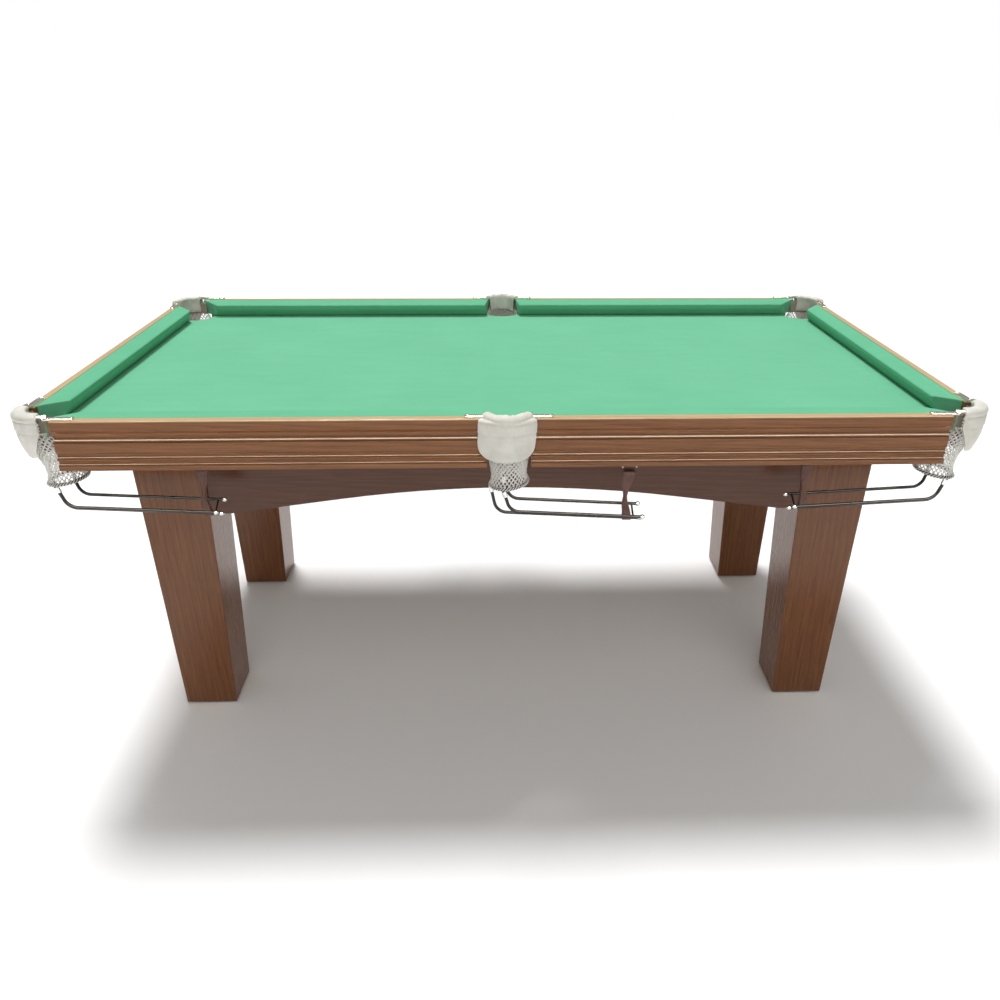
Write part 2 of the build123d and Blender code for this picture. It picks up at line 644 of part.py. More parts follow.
def runner_parts(length, lean):
    """Rods and ring, fittings and strap of one runner, with the run along +X from the ring's centre."""
    routes = runner_routes(length, lean)
    bottom = routes[0]
    tilt = radians(RING_TILT)
    ring_plane = Plane(
        origin=(0, 0, RING_Z), x_dir=(cos(tilt), 0, sin(tilt)), z_dir=(-sin(tilt), 0, cos(tilt)),
    )
    legs = [(route[0], (route[1] - route[0]).normalized()) for route in routes]
    with BuildPart() as rods:
        for route in routes:
            add(rod_part(route, ROD, ROD_BEND))
        wire_points = [rod_point(route, WIRE_BACK) for route in (routes[1], bottom, routes[2])]
        add(rod_part(wire_points, WIRE, WIRE_BEND))
        with Locations(ring_plane):
            Torus(RING_RADIUS, RING_WIRE + WELD_GAP, mode=Mode.SUBTRACT)
        with Locations(ring_plane):
            Torus(RING_RADIUS, RING_WIRE)

    with BuildPart() as fittings:
        for top, down in legs:
            with BuildSketch(Plane(origin=top + down * (RING_WIRE + 1), z_dir=down)):
                Circle(FERRULE)
            extrude(amount=FERRULE_LENGTH)
        for route in routes:
            with Locations(route[2] + (route[2] - route[1]).normalized() * CAP_OUT):
                Sphere(CAP)
        add(rods.part, mode=Mode.SUBTRACT)

    strap_x = length - HANGER_BACK
    loop_centre = rod_point(bottom, HANGER_BACK)
    loop_axis = (bottom[2] - bottom[1]).normalized()
    bar_plane = Plane(origin=(strap_x - STRAP_WIDTH / 2, 0, BAR_Z), z_dir=(1, 0, 0))
    outline = (
        (BAR_Z - BAR_RADIUS - 0.6, STRAP_WIDTH / 2),
        (WAIST_Z, STRAP_WAIST / 2),
        (loop_centre.Z + ROD + 0.8, LOOP_HALF),
    )
    with BuildPart() as strap:
        with BuildSketch(bar_plane):
            Circle(BAR_RADIUS + BAR_FIT + STRAP_THICK)
        extrude(amount=STRAP_WIDTH)
        with BuildSketch(Plane(origin=loop_centre - loop_axis * LOOP_HALF, z_dir=loop_axis)):
            Circle(ROD + STRAP_THICK)
        extrude(amount=2 * LOOP_HALF)
        with BuildSketch(Plane(origin=(strap_x, 0, 0), x_dir=(1, 0, 0), z_dir=(0, -1, 0))):
            with BuildLine():
                Polyline(
                    *[(half, z) for z, half in outline],
                    *[(-half, z) for z, half in reversed(outline)],
                    close=True,
                )
            make_face()
        extrude(amount=STRAP_THICK / 2, both=True)
        with BuildSketch(bar_plane):
            Circle(BAR_RADIUS + BAR_FIT)
        extrude(amount=STRAP_WIDTH, mode=Mode.SUBTRACT)
        add(rods.part, mode=Mode.SUBTRACT)
    return {"rods": rods.part, "fittings": fittings.part, "strap": strap.part}


RUNNERS = {
    True: runner_parts(RUN_CORNER, CORNER_LEAN),
    False: runner_parts(RUN_MIDDLE, MIDDLE_LEAN),
}
hanger_places, hanger_sides = [], []
for place, pocket in POCKETS.items():
    seat = Location((*pocket["ring"], 0), (0, 0, 0 if pocket["run"] > 0 else 180))
    for label, shape in RUNNERS[pocket["corner"]].items():
        save(seat * shape, f"runner_{label}_{place}")
    length = RUN_CORNER if pocket["corner"] else RUN_MIDDLE
    bar_x, bar_y = pocket["ring"][0] + pocket["run"] * (length - HANGER_BACK), pocket["ring"][1]
    hanger_places.append((bar_x, bar_y))
    hanger_sides += [(bar_x, bar_y, hand) for hand in SIGNS]

with BuildPart() as strap_hangers:
    with Locations(*[(x, y, PANEL_BOTTOM - 1) for x, y in hanger_places]):
        Box(62, 13, 2)
    with Locations(*[(x + hand * (CHEEK + 1), y, (PANEL_BOTTOM + BAR_Z - 5) / 2) for x, y, hand in hanger_sides]):
        Box(2, 10, PANEL_BOTTOM - BAR_Z + 5)
    with Locations(*[Location((x, y, BAR_Z), (0, 90, 0)) for x, y in hanger_places]):
        Cylinder(BAR_RADIUS, 2 * CHEEK + 4)
    with Locations(*[(x + hand * HANGER_SCREW, y, PANEL_BOTTOM - 2) for x, y, hand in hanger_sides]):
        Cylinder(1.9, 10, mode=Mode.SUBTRACT)
save(strap_hangers.part, "strap_hangers")

# ------------------------------------------------------------------ screws and bolts
with BuildPart() as wood_screws:
    for pocket in POCKETS.values():
        with Locations(*[(x, y, HEIGHT + FINGER_THICK) for x, y in screw_places(pocket)]):
            Cone(1.8, 3.4, 1.7, align=(Align.CENTER, Align.CENTER, Align.MAX))
            Cylinder(1.8, 16, align=(Align.CENTER, Align.CENTER, Align.MAX))
    with Locations(*[(x + hand * HANGER_SCREW, y, PANEL_BOTTOM - 3.6) for x, y, hand in hanger_sides]):
        Cylinder(3.6, 1.6, align=UPRIGHT)
        Cylinder(1.8, 18, align=UPRIGHT)
save(wood_screws.part, "wood_screws")

BOLT_RADIUS, HEAD_RADIUS, HEAD_HEIGHT = 3.0, 7.0, 5.0
CUSHION_BOLT_X = (150.0, 400.0, 720.0)
CUSHION_BOLT_Y = 494.0
END_BOLT_X, END_BOLT_Y = 947.0, (-300.0, 0.0, 300.0)
LEG_BOLT_STEP = 32.0
bolt_places = [(sx * x, sy * CUSHION_BOLT_Y) for sx in SIGNS for sy in SIGNS for x in CUSHION_BOLT_X]
bolt_places += [(sx * END_BOLT_X, y) for sx in SIGNS for y in END_BOLT_Y]
leg_bolt_places = [(x + step, y) for x, y in LEG_PLACES.values() for step in (-LEG_BOLT_STEP, LEG_BOLT_STEP)]

with BuildPart() as frame_bolts:
    with Locations(*[(x, y, PANEL_BOTTOM - HEAD_HEIGHT) for x, y in bolt_places]):
        Cylinder(BOLT_RADIUS, HEIGHT - 16 - PANEL_BOTTOM + HEAD_HEIGHT, align=UPRIGHT)
    for x, y in bolt_places:
        with BuildSketch(Plane(origin=(x, y, PANEL_BOTTOM - HEAD_HEIGHT))):
            RegularPolygon(HEAD_RADIUS, 6)
        extrude(amount=HEAD_HEIGHT)
    with Locations(*[(x, y, PANEL_BOTTOM - 60) for x, y in leg_bolt_places]):
        Cylinder(BOLT_RADIUS + 1, BEAM_HEIGHT + 52, align=UPRIGHT)
save(frame_bolts.part, "frame_bolts")
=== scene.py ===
import bpy
import bmesh
import math
import random
from mathutils import Matrix, Vector


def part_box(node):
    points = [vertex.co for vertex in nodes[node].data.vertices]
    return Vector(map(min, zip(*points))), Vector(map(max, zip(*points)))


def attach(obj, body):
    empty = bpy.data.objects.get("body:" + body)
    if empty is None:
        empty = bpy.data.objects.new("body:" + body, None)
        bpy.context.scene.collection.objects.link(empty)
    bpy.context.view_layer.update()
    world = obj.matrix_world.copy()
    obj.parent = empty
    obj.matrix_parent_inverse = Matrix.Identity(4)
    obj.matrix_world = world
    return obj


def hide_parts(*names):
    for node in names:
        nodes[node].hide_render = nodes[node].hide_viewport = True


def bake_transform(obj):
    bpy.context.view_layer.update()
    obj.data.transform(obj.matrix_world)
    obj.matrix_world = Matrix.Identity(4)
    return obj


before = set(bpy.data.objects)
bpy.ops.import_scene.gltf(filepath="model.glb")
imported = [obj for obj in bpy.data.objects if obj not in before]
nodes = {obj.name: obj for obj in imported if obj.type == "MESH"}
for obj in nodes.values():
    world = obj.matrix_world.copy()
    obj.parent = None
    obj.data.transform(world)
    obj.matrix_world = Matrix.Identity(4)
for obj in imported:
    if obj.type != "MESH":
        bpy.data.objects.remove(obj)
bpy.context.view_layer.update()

# ------------------------------------------------------------------ places taken from the frame, in metres
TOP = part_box("front_panels")[1].z              # top of the moulded panels
BED_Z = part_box("bed_cloth")[1].z
SLAB_X, SLAB_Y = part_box("bed_slab")[1].x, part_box("bed_slab")[1].y
NOSE_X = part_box("cushion_cloth_right_end")[0].x
NOSE_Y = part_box("cushion_cloth_back_left")[0].y
MM = 0.001

PLACES = [f"{a}_{b}" for a in ("front", "back") for b in ("left", "middle", "right")]


def hand(place):
    """Signs of a pocket's place along X and Y."""
    side, end = place.split("_")
    return {"left": -1, "middle": 0, "right": 1}[end], {"front": -1, "back": 1}[side]


# ------------------------------------------------------------------ camera, light and floor
CAMERA_AT = Vector((-0.0346, -2.0934, 1.4265))
YAW, PITCH, ROLL = 0.0366, 0.4228, 0.0065          # in radians
LENS, SENSOR = 30.5, 36.0
SHIFT_X, SHIFT_Y = -0.0204, -0.030
SKY_STRENGTH = 0.34
FLOOR_SIZE = 60.0
WHITE = (1.0, 1.0, 1.0, 1)
GLOSS_AT, GLOSS_TOWARD = (0.0, -2.6, 3.0), (0.0, 2.0, -2.2)


def add_camera():
    """Camera at the photograph's place and viewing angle."""
    ahead = Vector((math.sin(YAW) * math.cos(PITCH), math.cos(YAW) * math.cos(PITCH), -math.sin(PITCH)))
    right = Vector((math.cos(YAW), -math.sin(YAW), 0))
    up = right.cross(ahead)
    turned_right = right * math.cos(ROLL) + up * math.sin(ROLL)
    turned_up = up * math.cos(ROLL) - right * math.sin(ROLL)
    data = bpy.data.cameras.new("camera")
    data.lens, data.sensor_width = LENS, SENSOR
    data.shift_x, data.shift_y = SHIFT_X, SHIFT_Y
    camera = bpy.data.objects.new("camera", data)
    turn = Matrix((turned_right, turned_up, -ahead)).transposed()
    camera.matrix_world = Matrix.Translation(CAMERA_AT) @ turn.to_4x4()
    bpy.context.scene.collection.objects.link(camera)
    bpy.context.scene.camera = camera


def add_light(name, kind, toward, strength, at=(0, 0, 0)):
    """Light of a kind that shines along a direction from a place; returns the light object."""
    data = bpy.data.lights.new(name, kind)
    data.energy = strength
    light = bpy.data.objects.new(name, data)
    light.location = at
    light.rotation_euler = Vector(toward).to_track_quat("-Z", "Y").to_euler()
    bpy.context.scene.collection.objects.link(light)
    return light


def add_studio():
    """White surroundings, overhead and front lights, and a strip that only gives highlights."""
    scene = bpy.context.scene
    scene.view_settings.view_transform = "Standard"
    world = bpy.data.worlds.new("studio")
    scene.world = world
    world.use_nodes = True
    tree = world.node_tree
    sky = tree.nodes["Background"]
    sky.inputs["Color"].default_value = WHITE
    sky.inputs["Strength"].default_value = SKY_STRENGTH
    backdrop = tree.nodes.new("ShaderNodeBackground")
    backdrop.inputs["Color"].default_value = WHITE
    rays = tree.nodes.new("ShaderNodeLightPath")
    chosen = tree.nodes.new("ShaderNodeMixShader")
    tree.links.new(rays.outputs["Is Camera Ray"], chosen.inputs["Fac"])
    tree.links.new(sky.outputs["Background"], chosen.inputs[1])
    tree.links.new(backdrop.outputs["Background"], chosen.inputs[2])
    tree.links.new(chosen.outputs["Shader"], tree.nodes["World Output"].inputs["Surface"])
    for name, toward, strength, spread in (("key", (0.12, -0.36, -0.92), 3.1, 15),
                                           ("front", (-0.12, 0.66, -0.74), 0.42, 40)):
        add_light(name, "SUN", toward, strength).data.angle = math.radians(spread)
    gloss = add_light("gloss_strip", "AREA", GLOSS_TOWARD, 480.0, GLOSS_AT)
    gloss.data.shape = "RECTANGLE"
    gloss.data.size, gloss.data.size_y = 8.0, 0.7
    gloss.data.color = (1.0, 0.88, 0.70)
    gloss.visible_diffuse = False
    bpy.ops.mesh.primitive_plane_add(size=FLOOR_SIZE, location=(0, 0, 0))
    floor = bpy.context.object
    floor.name = "floor"
    floor.data.materials.append(plain("floor_paint", (0.95, 0.95, 0.95), 0.7))


# ------------------------------------------------------------------ material helpers
class Nodes:
    """A material's node tree with short calls for the nodes that are used here."""

    def __init__(self, name):
        self.mat = bpy.data.materials.new(name)
        self.mat.use_nodes = True
        self.tree = self.mat.node_tree
        self.bsdf = self.tree.nodes["Principled BSDF"]

    def new(self, kind, **settings):
        node = self.tree.nodes.new(kind)
        for key, value in settings.items():
            setattr(node, key, value)
        return node

    def link(self, a, b):
        self.tree.links.new(a, b)

    def place(self, scale):
        """Object coordinates, scaled."""
        coordinates = self.new("ShaderNodeTexCoord")
        mapping = self.new("ShaderNodeMapping")
        mapping.inputs["Scale"].default_value = scale
        self.link(coordinates.outputs["Object"], mapping.inputs["Vector"])
        return mapping.outputs["Vector"]

    def noise(self, vector, scale, detail=4, rough=0.5, distortion=0.0):
        node = self.new("ShaderNodeTexNoise")
        node.inputs["Scale"].default_value = scale
        node.inputs["Detail"].default_value = detail
        node.inputs["Roughness"].default_value = rough
        node.inputs["Distortion"].default_value = distortion
        self.link(vector, node.inputs["Vector"])
        return node.outputs["Fac"]

    def ramp(self, value, stops):
        node = self.new("ShaderNodeValToRGB")
        ramp = node.color_ramp
        while len(ramp.elements) < len(stops):
            ramp.elements.new(0.5)
        for element, (position, color) in zip(ramp.elements, stops):
            element.position = position
            element.color = (*color, 1)
        self.link(value, node.inputs["Fac"])
        return node.outputs["Color"]

    def span(self, value, low, high, to_low=0.0, to_high=1.0):
        node = self.new("ShaderNodeMapRange")
        node.inputs["From Min"].default_value = low
        node.inputs["From Max"].default_value = high
        node.inputs["To Min"].default_value = to_low
        node.inputs["To Max"].default_value = to_high
        self.link(value, node.inputs["Value"])
        return node.outputs["Result"]

    def math(self, operation, a, b):
        node = self.new("ShaderNodeMath", operation=operation)
        for socket, value in zip(node.inputs, (a, b)):
            if isinstance(value, (int, float)):
                socket.default_value = value
            else:
                self.link(value, socket)
        return node.outputs["Value"]

    def mix(self, factor, a, b):
        node = self.new("ShaderNodeMix", data_type="RGBA")
        for socket, value in zip((node.inputs[0], node.inputs[6], node.inputs[7]), (factor, a, b)):
            if isinstance(value, tuple):
                socket.default_value = (*value, 1)
            elif isinstance(value, (int, float)):
                socket.default_value = value
            else:
                self.link(value, socket)
        return node.outputs[2]

    def color(self, socket):
        self.link(socket, self.bsdf.inputs["Base Color"])

    def rough(self, value):
        if isinstance(value, (int, float)):
            self.bsdf.inputs["Roughness"].default_value = value
        else:
            self.link(value, self.bsdf.inputs["Roughness"])

    def bump(self, *layers):
        """Stacks bump layers of (height socket, strength, distance)."""
        last = None
        for height, strength, distance in layers:
            node = self.new("ShaderNodeBump")
            node.inputs["Strength"].default_value = strength
            node.inputs["Distance"].default_value = distance
            self.link(height, node.inputs["Height"])
            if last:
                self.link(last, node.inputs["Normal"])
            last = node.outputs["Normal"]
        self.link(last, self.bsdf.inputs["Normal"])


def plain(name, color, rough):
    """Matt studio paint with a faint mottle."""
    m = Nodes(name)
    mottle = m.noise(m.place((1, 1, 1)), 3.0)
    m.color(m.ramp(mottle, [(0.3, tuple(c * 0.985 for c in color)), (0.7, color)]))
    m.rough(rough)
    return m.mat


RING_STRETCH, PORE_STRETCH = 0.055, 0.02      # how far the figure and the pores are drawn out along the grain
LACQUER_ROUGH = 0.20
EDGE_LOW, EDGE_HIGH = TOP - 3.4 * MM, TOP - 1.0 * MM      # where a panel's pale top edge starts and is full


def oak(name, grain, dark, mid, light, capped=False):
    """Lacquered oak: growth rings, streaks and pores along one axis, with a pale top edge if it is capped."""
    m = Nodes(name)
    base = m.place(tuple(RING_STRETCH if axis == grain else 1 for axis in "XYZ"))
    rings = m.new("ShaderNodeTexWave", wave_type="BANDS", bands_direction="DIAGONAL", wave_profile="SAW")
    rings.inputs["Scale"].default_value = 42.0
    rings.inputs["Distortion"].default_value = 7.0
    rings.inputs["Detail"].default_value = 2.5
    rings.inputs["Detail Scale"].default_value = 0.9
    rings.inputs["Detail Roughness"].default_value = 0.55
    m.link(base, rings.inputs["Vector"])
    drift = m.noise(base, 9.0, 3, 0.5, 0.4)
    fine = m.place(tuple(PORE_STRETCH if axis == grain else 1 for axis in "XYZ"))
    pores = m.noise(fine, 1100.0, 2, 0.6)
    streaks = m.noise(fine, 260.0, 3, 0.6)
    tone = m.math("ADD", m.math("MULTIPLY", rings.outputs["Fac"], 0.17), m.math("MULTIPLY", streaks, 0.80))
    tone = m.math("ADD", tone, m.math("MULTIPLY", drift, 0.18))
    color = m.ramp(tone, [(0.30, dark), (0.58, mid), (0.88, light)])
    color = m.mix(m.span(pores, 0.30, 0.46, 0.40, 0.0), color, tuple(c * 0.5 for c in dark))
    if capped:
        spot = m.new("ShaderNodeSeparateXYZ")
        m.link(m.place((1, 1, 1)), spot.inputs[0])
        edge = m.span(spot.outputs["Z"], EDGE_LOW, EDGE_HIGH)
        pale = m.ramp(streaks, [(0.25, (0.47, 0.31, 0.155)), (0.75, (0.62, 0.44, 0.24))])
        color = m.mix(edge, color, pale)
    m.color(color)
    m.rough(m.span(streaks, 0.2, 0.8, LACQUER_ROUGH - 0.05, LACQUER_ROUGH + 0.08))
    m.bsdf.inputs["Specular IOR Level"].default_value = 0.40
    m.bump((pores, 0.20, 0.0003), (streaks, 0.10, 0.0004))
    return m.mat


def baize(name, dark, light):
    """Wool cloth: short nap, faint weave and soft brushing marks."""
    m = Nodes(name)
    flat = m.place((1, 1, 1))
    cloud = m.noise(flat, 5.0, 4, 0.6)
    brushed = m.noise(m.place((0.5, 2.2, 1)), 16.0, 4, 0.6)
    nap = m.noise(flat, 1700.0, 2, 0.7)
    tufts = m.noise(flat, 420.0, 3, 0.7)
    weave = m.new("ShaderNodeTexWave", wave_type="BANDS", bands_direction="DIAGONAL")
    weave.inputs["Scale"].default_value = 420.0
    weave.inputs["Distortion"].default_value = 1.5
    m.link(flat, weave.inputs["Vector"])
    tone = m.math("ADD", m.math("MULTIPLY", cloud, 0.35), m.math("MULTIPLY", brushed, 0.25))
    tone = m.math("ADD", tone, m.math("MULTIPLY", tufts, 0.4))
    color = m.ramp(tone, [(0.3, dark), (0.7, light)])
    color = m.mix(m.span(nap, 0.3, 0.7, 0.16, 0.0), color, tuple(c * 0.55 for c in dark))
    m.color(color)
    m.rough(0.93)
    m.bsdf.inputs["Specular IOR Level"].default_value = 0.25
    m.bsdf.inputs["Sheen Weight"].default_value = 0.10
    m.bsdf.inputs["Sheen Roughness"].default_value = 0.45
    m.bsdf.inputs["Sheen Tint"].default_value = (0.35, 1.0, 0.60, 1)
    m.bump((nap, 0.30, 0.0005), (weave.outputs["Fac"], 0.10, 0.0003))
    return m.mat


def metal(name, color, rough):
    """Polished or plated metal with faint smears and fine scratches."""
    m = Nodes(name)
    smear = m.noise(m.place((1, 1, 1)), 60.0, 4, 0.6)
    fine = m.noise(m.place((1, 0.1, 1)), 1400.0, 2, 0.6)
    m.color(m.ramp(smear, [(0.3, tuple(c * 0.9 for c in color)), (0.7, color)]))
    m.bsdf.inputs["Metallic"].default_value = 1.0
    wear = m.math("ADD", smear, m.math("MULTIPLY", fine, 0.4))
    m.rough(m.span(wear, 0.4, 1.0, rough * 0.7, rough + 0.06))
    m.bump((fine, 0.05, 0.0002),)
    return m.mat


def vinyl(name):
    """Black dipped coating with a soft gloss and slight orange peel."""
    m = Nodes(name)
    peel = m.noise(m.place((1, 1, 1)), 240.0, 3, 0.5)
    dust = m.noise(m.place((1, 1, 1)), 30.0, 3, 0.5)
    m.color(m.ramp(dust, [(0.35, (0.007, 0.007, 0.007)), (0.7, (0.018, 0.017, 0.016))]))
    m.rough(m.span(dust, 0.3, 0.7, 0.24, 0.36))
    m.bump((peel, 0.12, 0.0004),)
    return m.mat


def leather(name, shade, face):
    """Leather with a pebbled face and darker hollows."""
    m = Nodes(name)
    flat = m.place((1, 1, 1))
    cells = m.new("ShaderNodeTexVoronoi", feature="DISTANCE_TO_EDGE")
    cells.inputs["Scale"].default_value = 520.0
    m.link(flat, cells.inputs["Vector"])
    pebble = m.span(cells.outputs["Distance"], 0.0, 0.25)
    age = m.noise(flat, 22.0, 4, 0.6)
    color = m.ramp(age, [(0.3, shade), (0.7, face)])
    color = m.mix(m.span(pebble, 0.0, 0.6, 0.30, 0.0), color, tuple(c * 0.7 for c in shade))
    m.color(color)
    m.rough(m.span(pebble, 0.0, 1.0, 0.58, 0.44))
    m.bsdf.inputs["Specular IOR Level"].default_value = 0.4
    m.bsdf.inputs["Subsurface Weight"].default_value = 0.04
    m.bsdf.inputs["Subsurface Radius"].default_value = (0.004, 0.003, 0.002)
    m.bump((pebble, 0.35, 0.0006), (m.noise(flat, 90.0, 3, 0.5), 0.15, 0.001))
    return m.mat


def cord_white(name):
    """Twisted white cotton cord."""
    m = Nodes(name)
    flat = m.place((1, 1, 1))
    ply = m.new("ShaderNodeTexWave", wave_type="BANDS", bands_direction="DIAGONAL")
    ply.inputs["Scale"].default_value = 300.0
    ply.inputs["Distortion"].default_value = 2.0
    m.link(flat, ply.inputs["Vector"])
    fluff = m.noise(flat, 700.0, 3, 0.7)
    m.color(m.ramp(fluff, [(0.3, (0.58, 0.57, 0.52)), (0.65, (0.82, 0.82, 0.78))]))
    m.rough(0.85)
    m.bsdf.inputs["Sheen Weight"].default_value = 0.2
    m.bump((ply.outputs["Fac"], 0.5, 0.0005), (fluff, 0.3, 0.0004))
    return m.mat


def strap_hide(name):
    """Brown strap leather with darker creases."""
    m = Nodes(name)
    flat = m.place((1, 1, 1))
    crease = m.noise(flat, 160.0, 5, 0.65)
    stain = m.noise(flat, 30.0, 3, 0.5)
    m.color(m.ramp(m.math("ADD", m.math("MULTIPLY", crease, 0.6), m.math("MULTIPLY", stain, 0.4)),
                   [(0.3, (0.055, 0.018, 0.010)), (0.7, (0.16, 0.060, 0.036))]))
    m.rough(m.span(crease, 0.3, 0.7, 0.42, 0.60))
    m.bump((crease, 0.4, 0.0006),)
    return m.mat


def raw_board(name, dark, light, scale=300.0):
    """Raw board or sawn timber that shows only inside the pockets and underneath."""
    m = Nodes(name)
    fibre = m.noise(m.place((1, 1, 1)), scale, 4, 0.7)
    cloud = m.noise(m.place((1, 1, 1)), 12.0, 3, 0.5)
    m.color(m.ramp(m.math("ADD", m.math("MULTIPLY", fibre, 0.6), m.math("MULTIPLY", cloud, 0.4)),
                   [(0.3, dark), (0.7, light)]))
    m.rough(0.8)
    m.bump((fibre, 0.3, 0.0004),)
    return m.mat


def rubber(name):
    """Dark cushion rubber with a fine grit."""
    m = Nodes(name)
    grit = m.noise(m.place((1, 1, 1)), 500.0, 3, 0.6)
    m.color(m.ramp(grit, [(0.3, (0.035, 0.032, 0.030)), (0.7, (0.07, 0.065, 0.06))]))
    m.rough(0.75)
    m.bump((grit, 0.2, 0.0003),)
    return m.mat


PANEL_TONES = ((0.145, 0.047, 0.011), (0.220, 0.081, 0.021), (0.285, 0.120, 0.036))
LEG_TONES = ((0.110, 0.033, 0.008), (0.165, 0.056, 0.015), (0.210, 0.079, 0.023))
# The aprons' oak is the legs' oak darkened: painted shade for the shadow the panels cast on the aprons.
APRON_TONES_PAINTED_SHADE = ((0.060, 0.016, 0.004), (0.092, 0.028, 0.007), (0.122, 0.041, 0.012))

CLOTH_MAT = baize("green_bed_cloth", (0.120, 0.430, 0.250), (0.160, 0.510, 0.310))
CUSHION_MAT = baize("green_cushion_cloth", (0.100, 0.410, 0.230), (0.135, 0.490, 0.290))
LEATHER_MAT = leather("white_pocket_leather", (0.62, 0.60, 0.53), (0.80, 0.785, 0.72))
SUEDE_MAT = leather("leather_flesh_side", (0.30, 0.25, 0.19), (0.42, 0.36, 0.28))
THREAD_MAT = cord_white("white_thread")
NET_MAT = cord_white("white_net_cord")
STRAP_MAT = strap_hide("brown_strap_leather")
CHROME_MAT = metal("polished_chrome", (0.82, 0.82, 0.81), 0.10)
NICKEL_MAT = metal("polished_nickel", (0.84, 0.79, 0.71), 0.16)
STEEL_MAT = metal("zinc_plate", (0.52, 0.52, 0.50), 0.34)
VINYL_MAT = vinyl("black_vinyl")


def dress(name, material):
    """Gives a CAD node its finished material."""
    slots = nodes[name].material_slots
    if not slots:
        nodes[name].data.materials.append(material)
    for slot in slots:
        slot.material = material


def dress_frame():
    """Materials for all the nodes that stay as they are."""
    along_x = oak("panel_oak_long", "X", *PANEL_TONES, capped=True)
    along_y = oak("panel_oak_end", "Y", *PANEL_TONES, capped=True)
    for name in ("front_panels", "back_panels"):
        dress(name, along_x)
    for name in ("left_end_panel", "right_end_panel"):
        dress(name, along_y)
    # The aprons get the darkened oak: painted shade for the shadow under the panels.
    dress("long_aprons", oak("apron_oak_long_painted_shade", "X", *APRON_TONES_PAINTED_SHADE))
    dress("end_aprons", oak("apron_oak_end_painted_shade", "Y", *APRON_TONES_PAINTED_SHADE))
    leg_oak = oak("leg_oak", "Z", *LEG_TONES)
    for name in nodes:
        if name.startswith("leg_"):
            dress(name, leg_oak)
        elif name.startswith("levelling_foot"):
            dress(name, STEEL_MAT)
        elif name.startswith("runner_rods"):
            dress(name, VINYL_MAT)
        elif name.startswith("runner_fittings"):
            dress(name, CHROME_MAT)
    dress("pocket_irons", NICKEL_MAT)
    for name in ("wood_screws", "frame_bolts", "leveller_inserts", "strap_hangers"):
        dress(name, STEEL_MAT)
    dress("bed_slab", raw_board("slab_edge", (0.20, 0.15, 0.10), (0.34, 0.27, 0.19)))
    dress("bed_beams", raw_board("beam_timber", (0.26, 0.17, 0.09), (0.42, 0.29, 0.17), 120.0))
    dress("cushion_rails", raw_board("rail_timber", (0.20, 0.10, 0.05), (0.33, 0.18, 0.09), 150.0))
    dress("cushion_rubbers", rubber("cushion_rubber"))


# ------------------------------------------------------------------ mesh helpers, with points in millimetres
def mesh_piece(name, points, faces, material, body, stands_for=(), smooth=True):
    """Makes one piece, riding on a body, if one is given, and standing for the CAD nodes it replaces."""
    mesh = bpy.data.meshes.new(name)
    mesh.from_pydata([tuple(c * MM for c in p) for p in points], [], faces)
    mesh.validate()
    work = bmesh.new()
    work.from_mesh(mesh)
    bmesh.ops.recalc_face_normals(work, faces=work.faces)
    work.to_mesh(mesh)
    work.free()
    mesh.materials.append(material)
    mesh.polygons.foreach_set("use_smooth", [smooth] * len(mesh.polygons))
    piece = bpy.data.objects.new(name, mesh)
    bpy.context.scene.collection.objects.link(piece)
    if body:
        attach(piece, body)
    if stands_for:
        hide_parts(*stands_for)
    return piece


def grid_faces(rows, columns, start=0, wrap=False):
    """Quads of a grid whose points are listed row by row; wrap joins the last column to the first."""
    faces = []
    across = columns if wrap else columns - 1
    for i in range(rows - 1):
        for j in range(across):
            k = (j + 1) % columns
            faces.append((start + i * columns + j, start + i * columns + k,
                          start + (i + 1) * columns + k, start + (i + 1) * columns + j))
    return faces


def thicken(piece, depth):
    """Gives a sheet its thickness, measured inwards from its outer face."""
    solid = piece.modifiers.new("thickness", "SOLIDIFY")
    solid.thickness = depth * MM
    solid.offset = -1
    solid.use_even_offset = False
    return solid


def tube(points, radii, sides=8, closed=False):
    """Points and faces of a round tube along a line of points."""
    line = [Vector(p) for p in points]
    count = len(line)
    if isinstance(radii, (int, float)):
        radii = [radii] * count
    verts, faces = [], []
    side = None
    for i, here in enumerate(line):
        before = line[i - 1] if i or closed else line[i]
        after = line[(i + 1) % count] if i < count - 1 or closed else line[i]
        along = (after - before).normalized()
        if side is None:
            side = along.orthogonal().normalized()
        side = (side - along * side.dot(along)).normalized()
        other = along.cross(side)
        for k in range(sides):
            a = 2 * math.pi * k / sides
            verts.append(here + (side * math.cos(a) + other * math.sin(a)) * radii[i])
    faces = grid_faces(count, sides, wrap=True)
    if closed:
        last = (count - 1) * sides
        faces += [(last + k, last + (k + 1) % sides, (k + 1) % sides, k) for k in range(sides)]
    else:
        faces.append(tuple(reversed(range(sides))))
        faces.append(tuple((count - 1) * sides + k for k in range(sides)))
    return verts, faces


def blob(at, along, half_length, radius):
    """A small rounded stitch or knot: a six-sided capsule."""
    along = Vector(along).normalized()
    at = Vector(at)
    steps = ((-1.0, 0.35), (-0.7, 0.85), (0.0, 1.0), (0.7, 0.85), (1.0, 0.35))
    return tube([at + along * half_length * s for s, _ in steps], [radius * r for _, r in steps], 6)


def join(parts):
    """Several lists of points and faces as one."""
    points, faces = [], []
    for more_points, more_faces in parts:
        start = len(points)
        points += more_points
        faces += [tuple(start + i for i in face) for face in more_faces]
    return points, faces


def ease(x):
    """Smooth step from 0 to 1."""
    x = min(max(x, 0.0), 1.0)
    return x * x * (3 - 2 * x)


def lerp(a, b, f):
    """Value a share f of the way from a to b."""
    return a + (b - a) * f


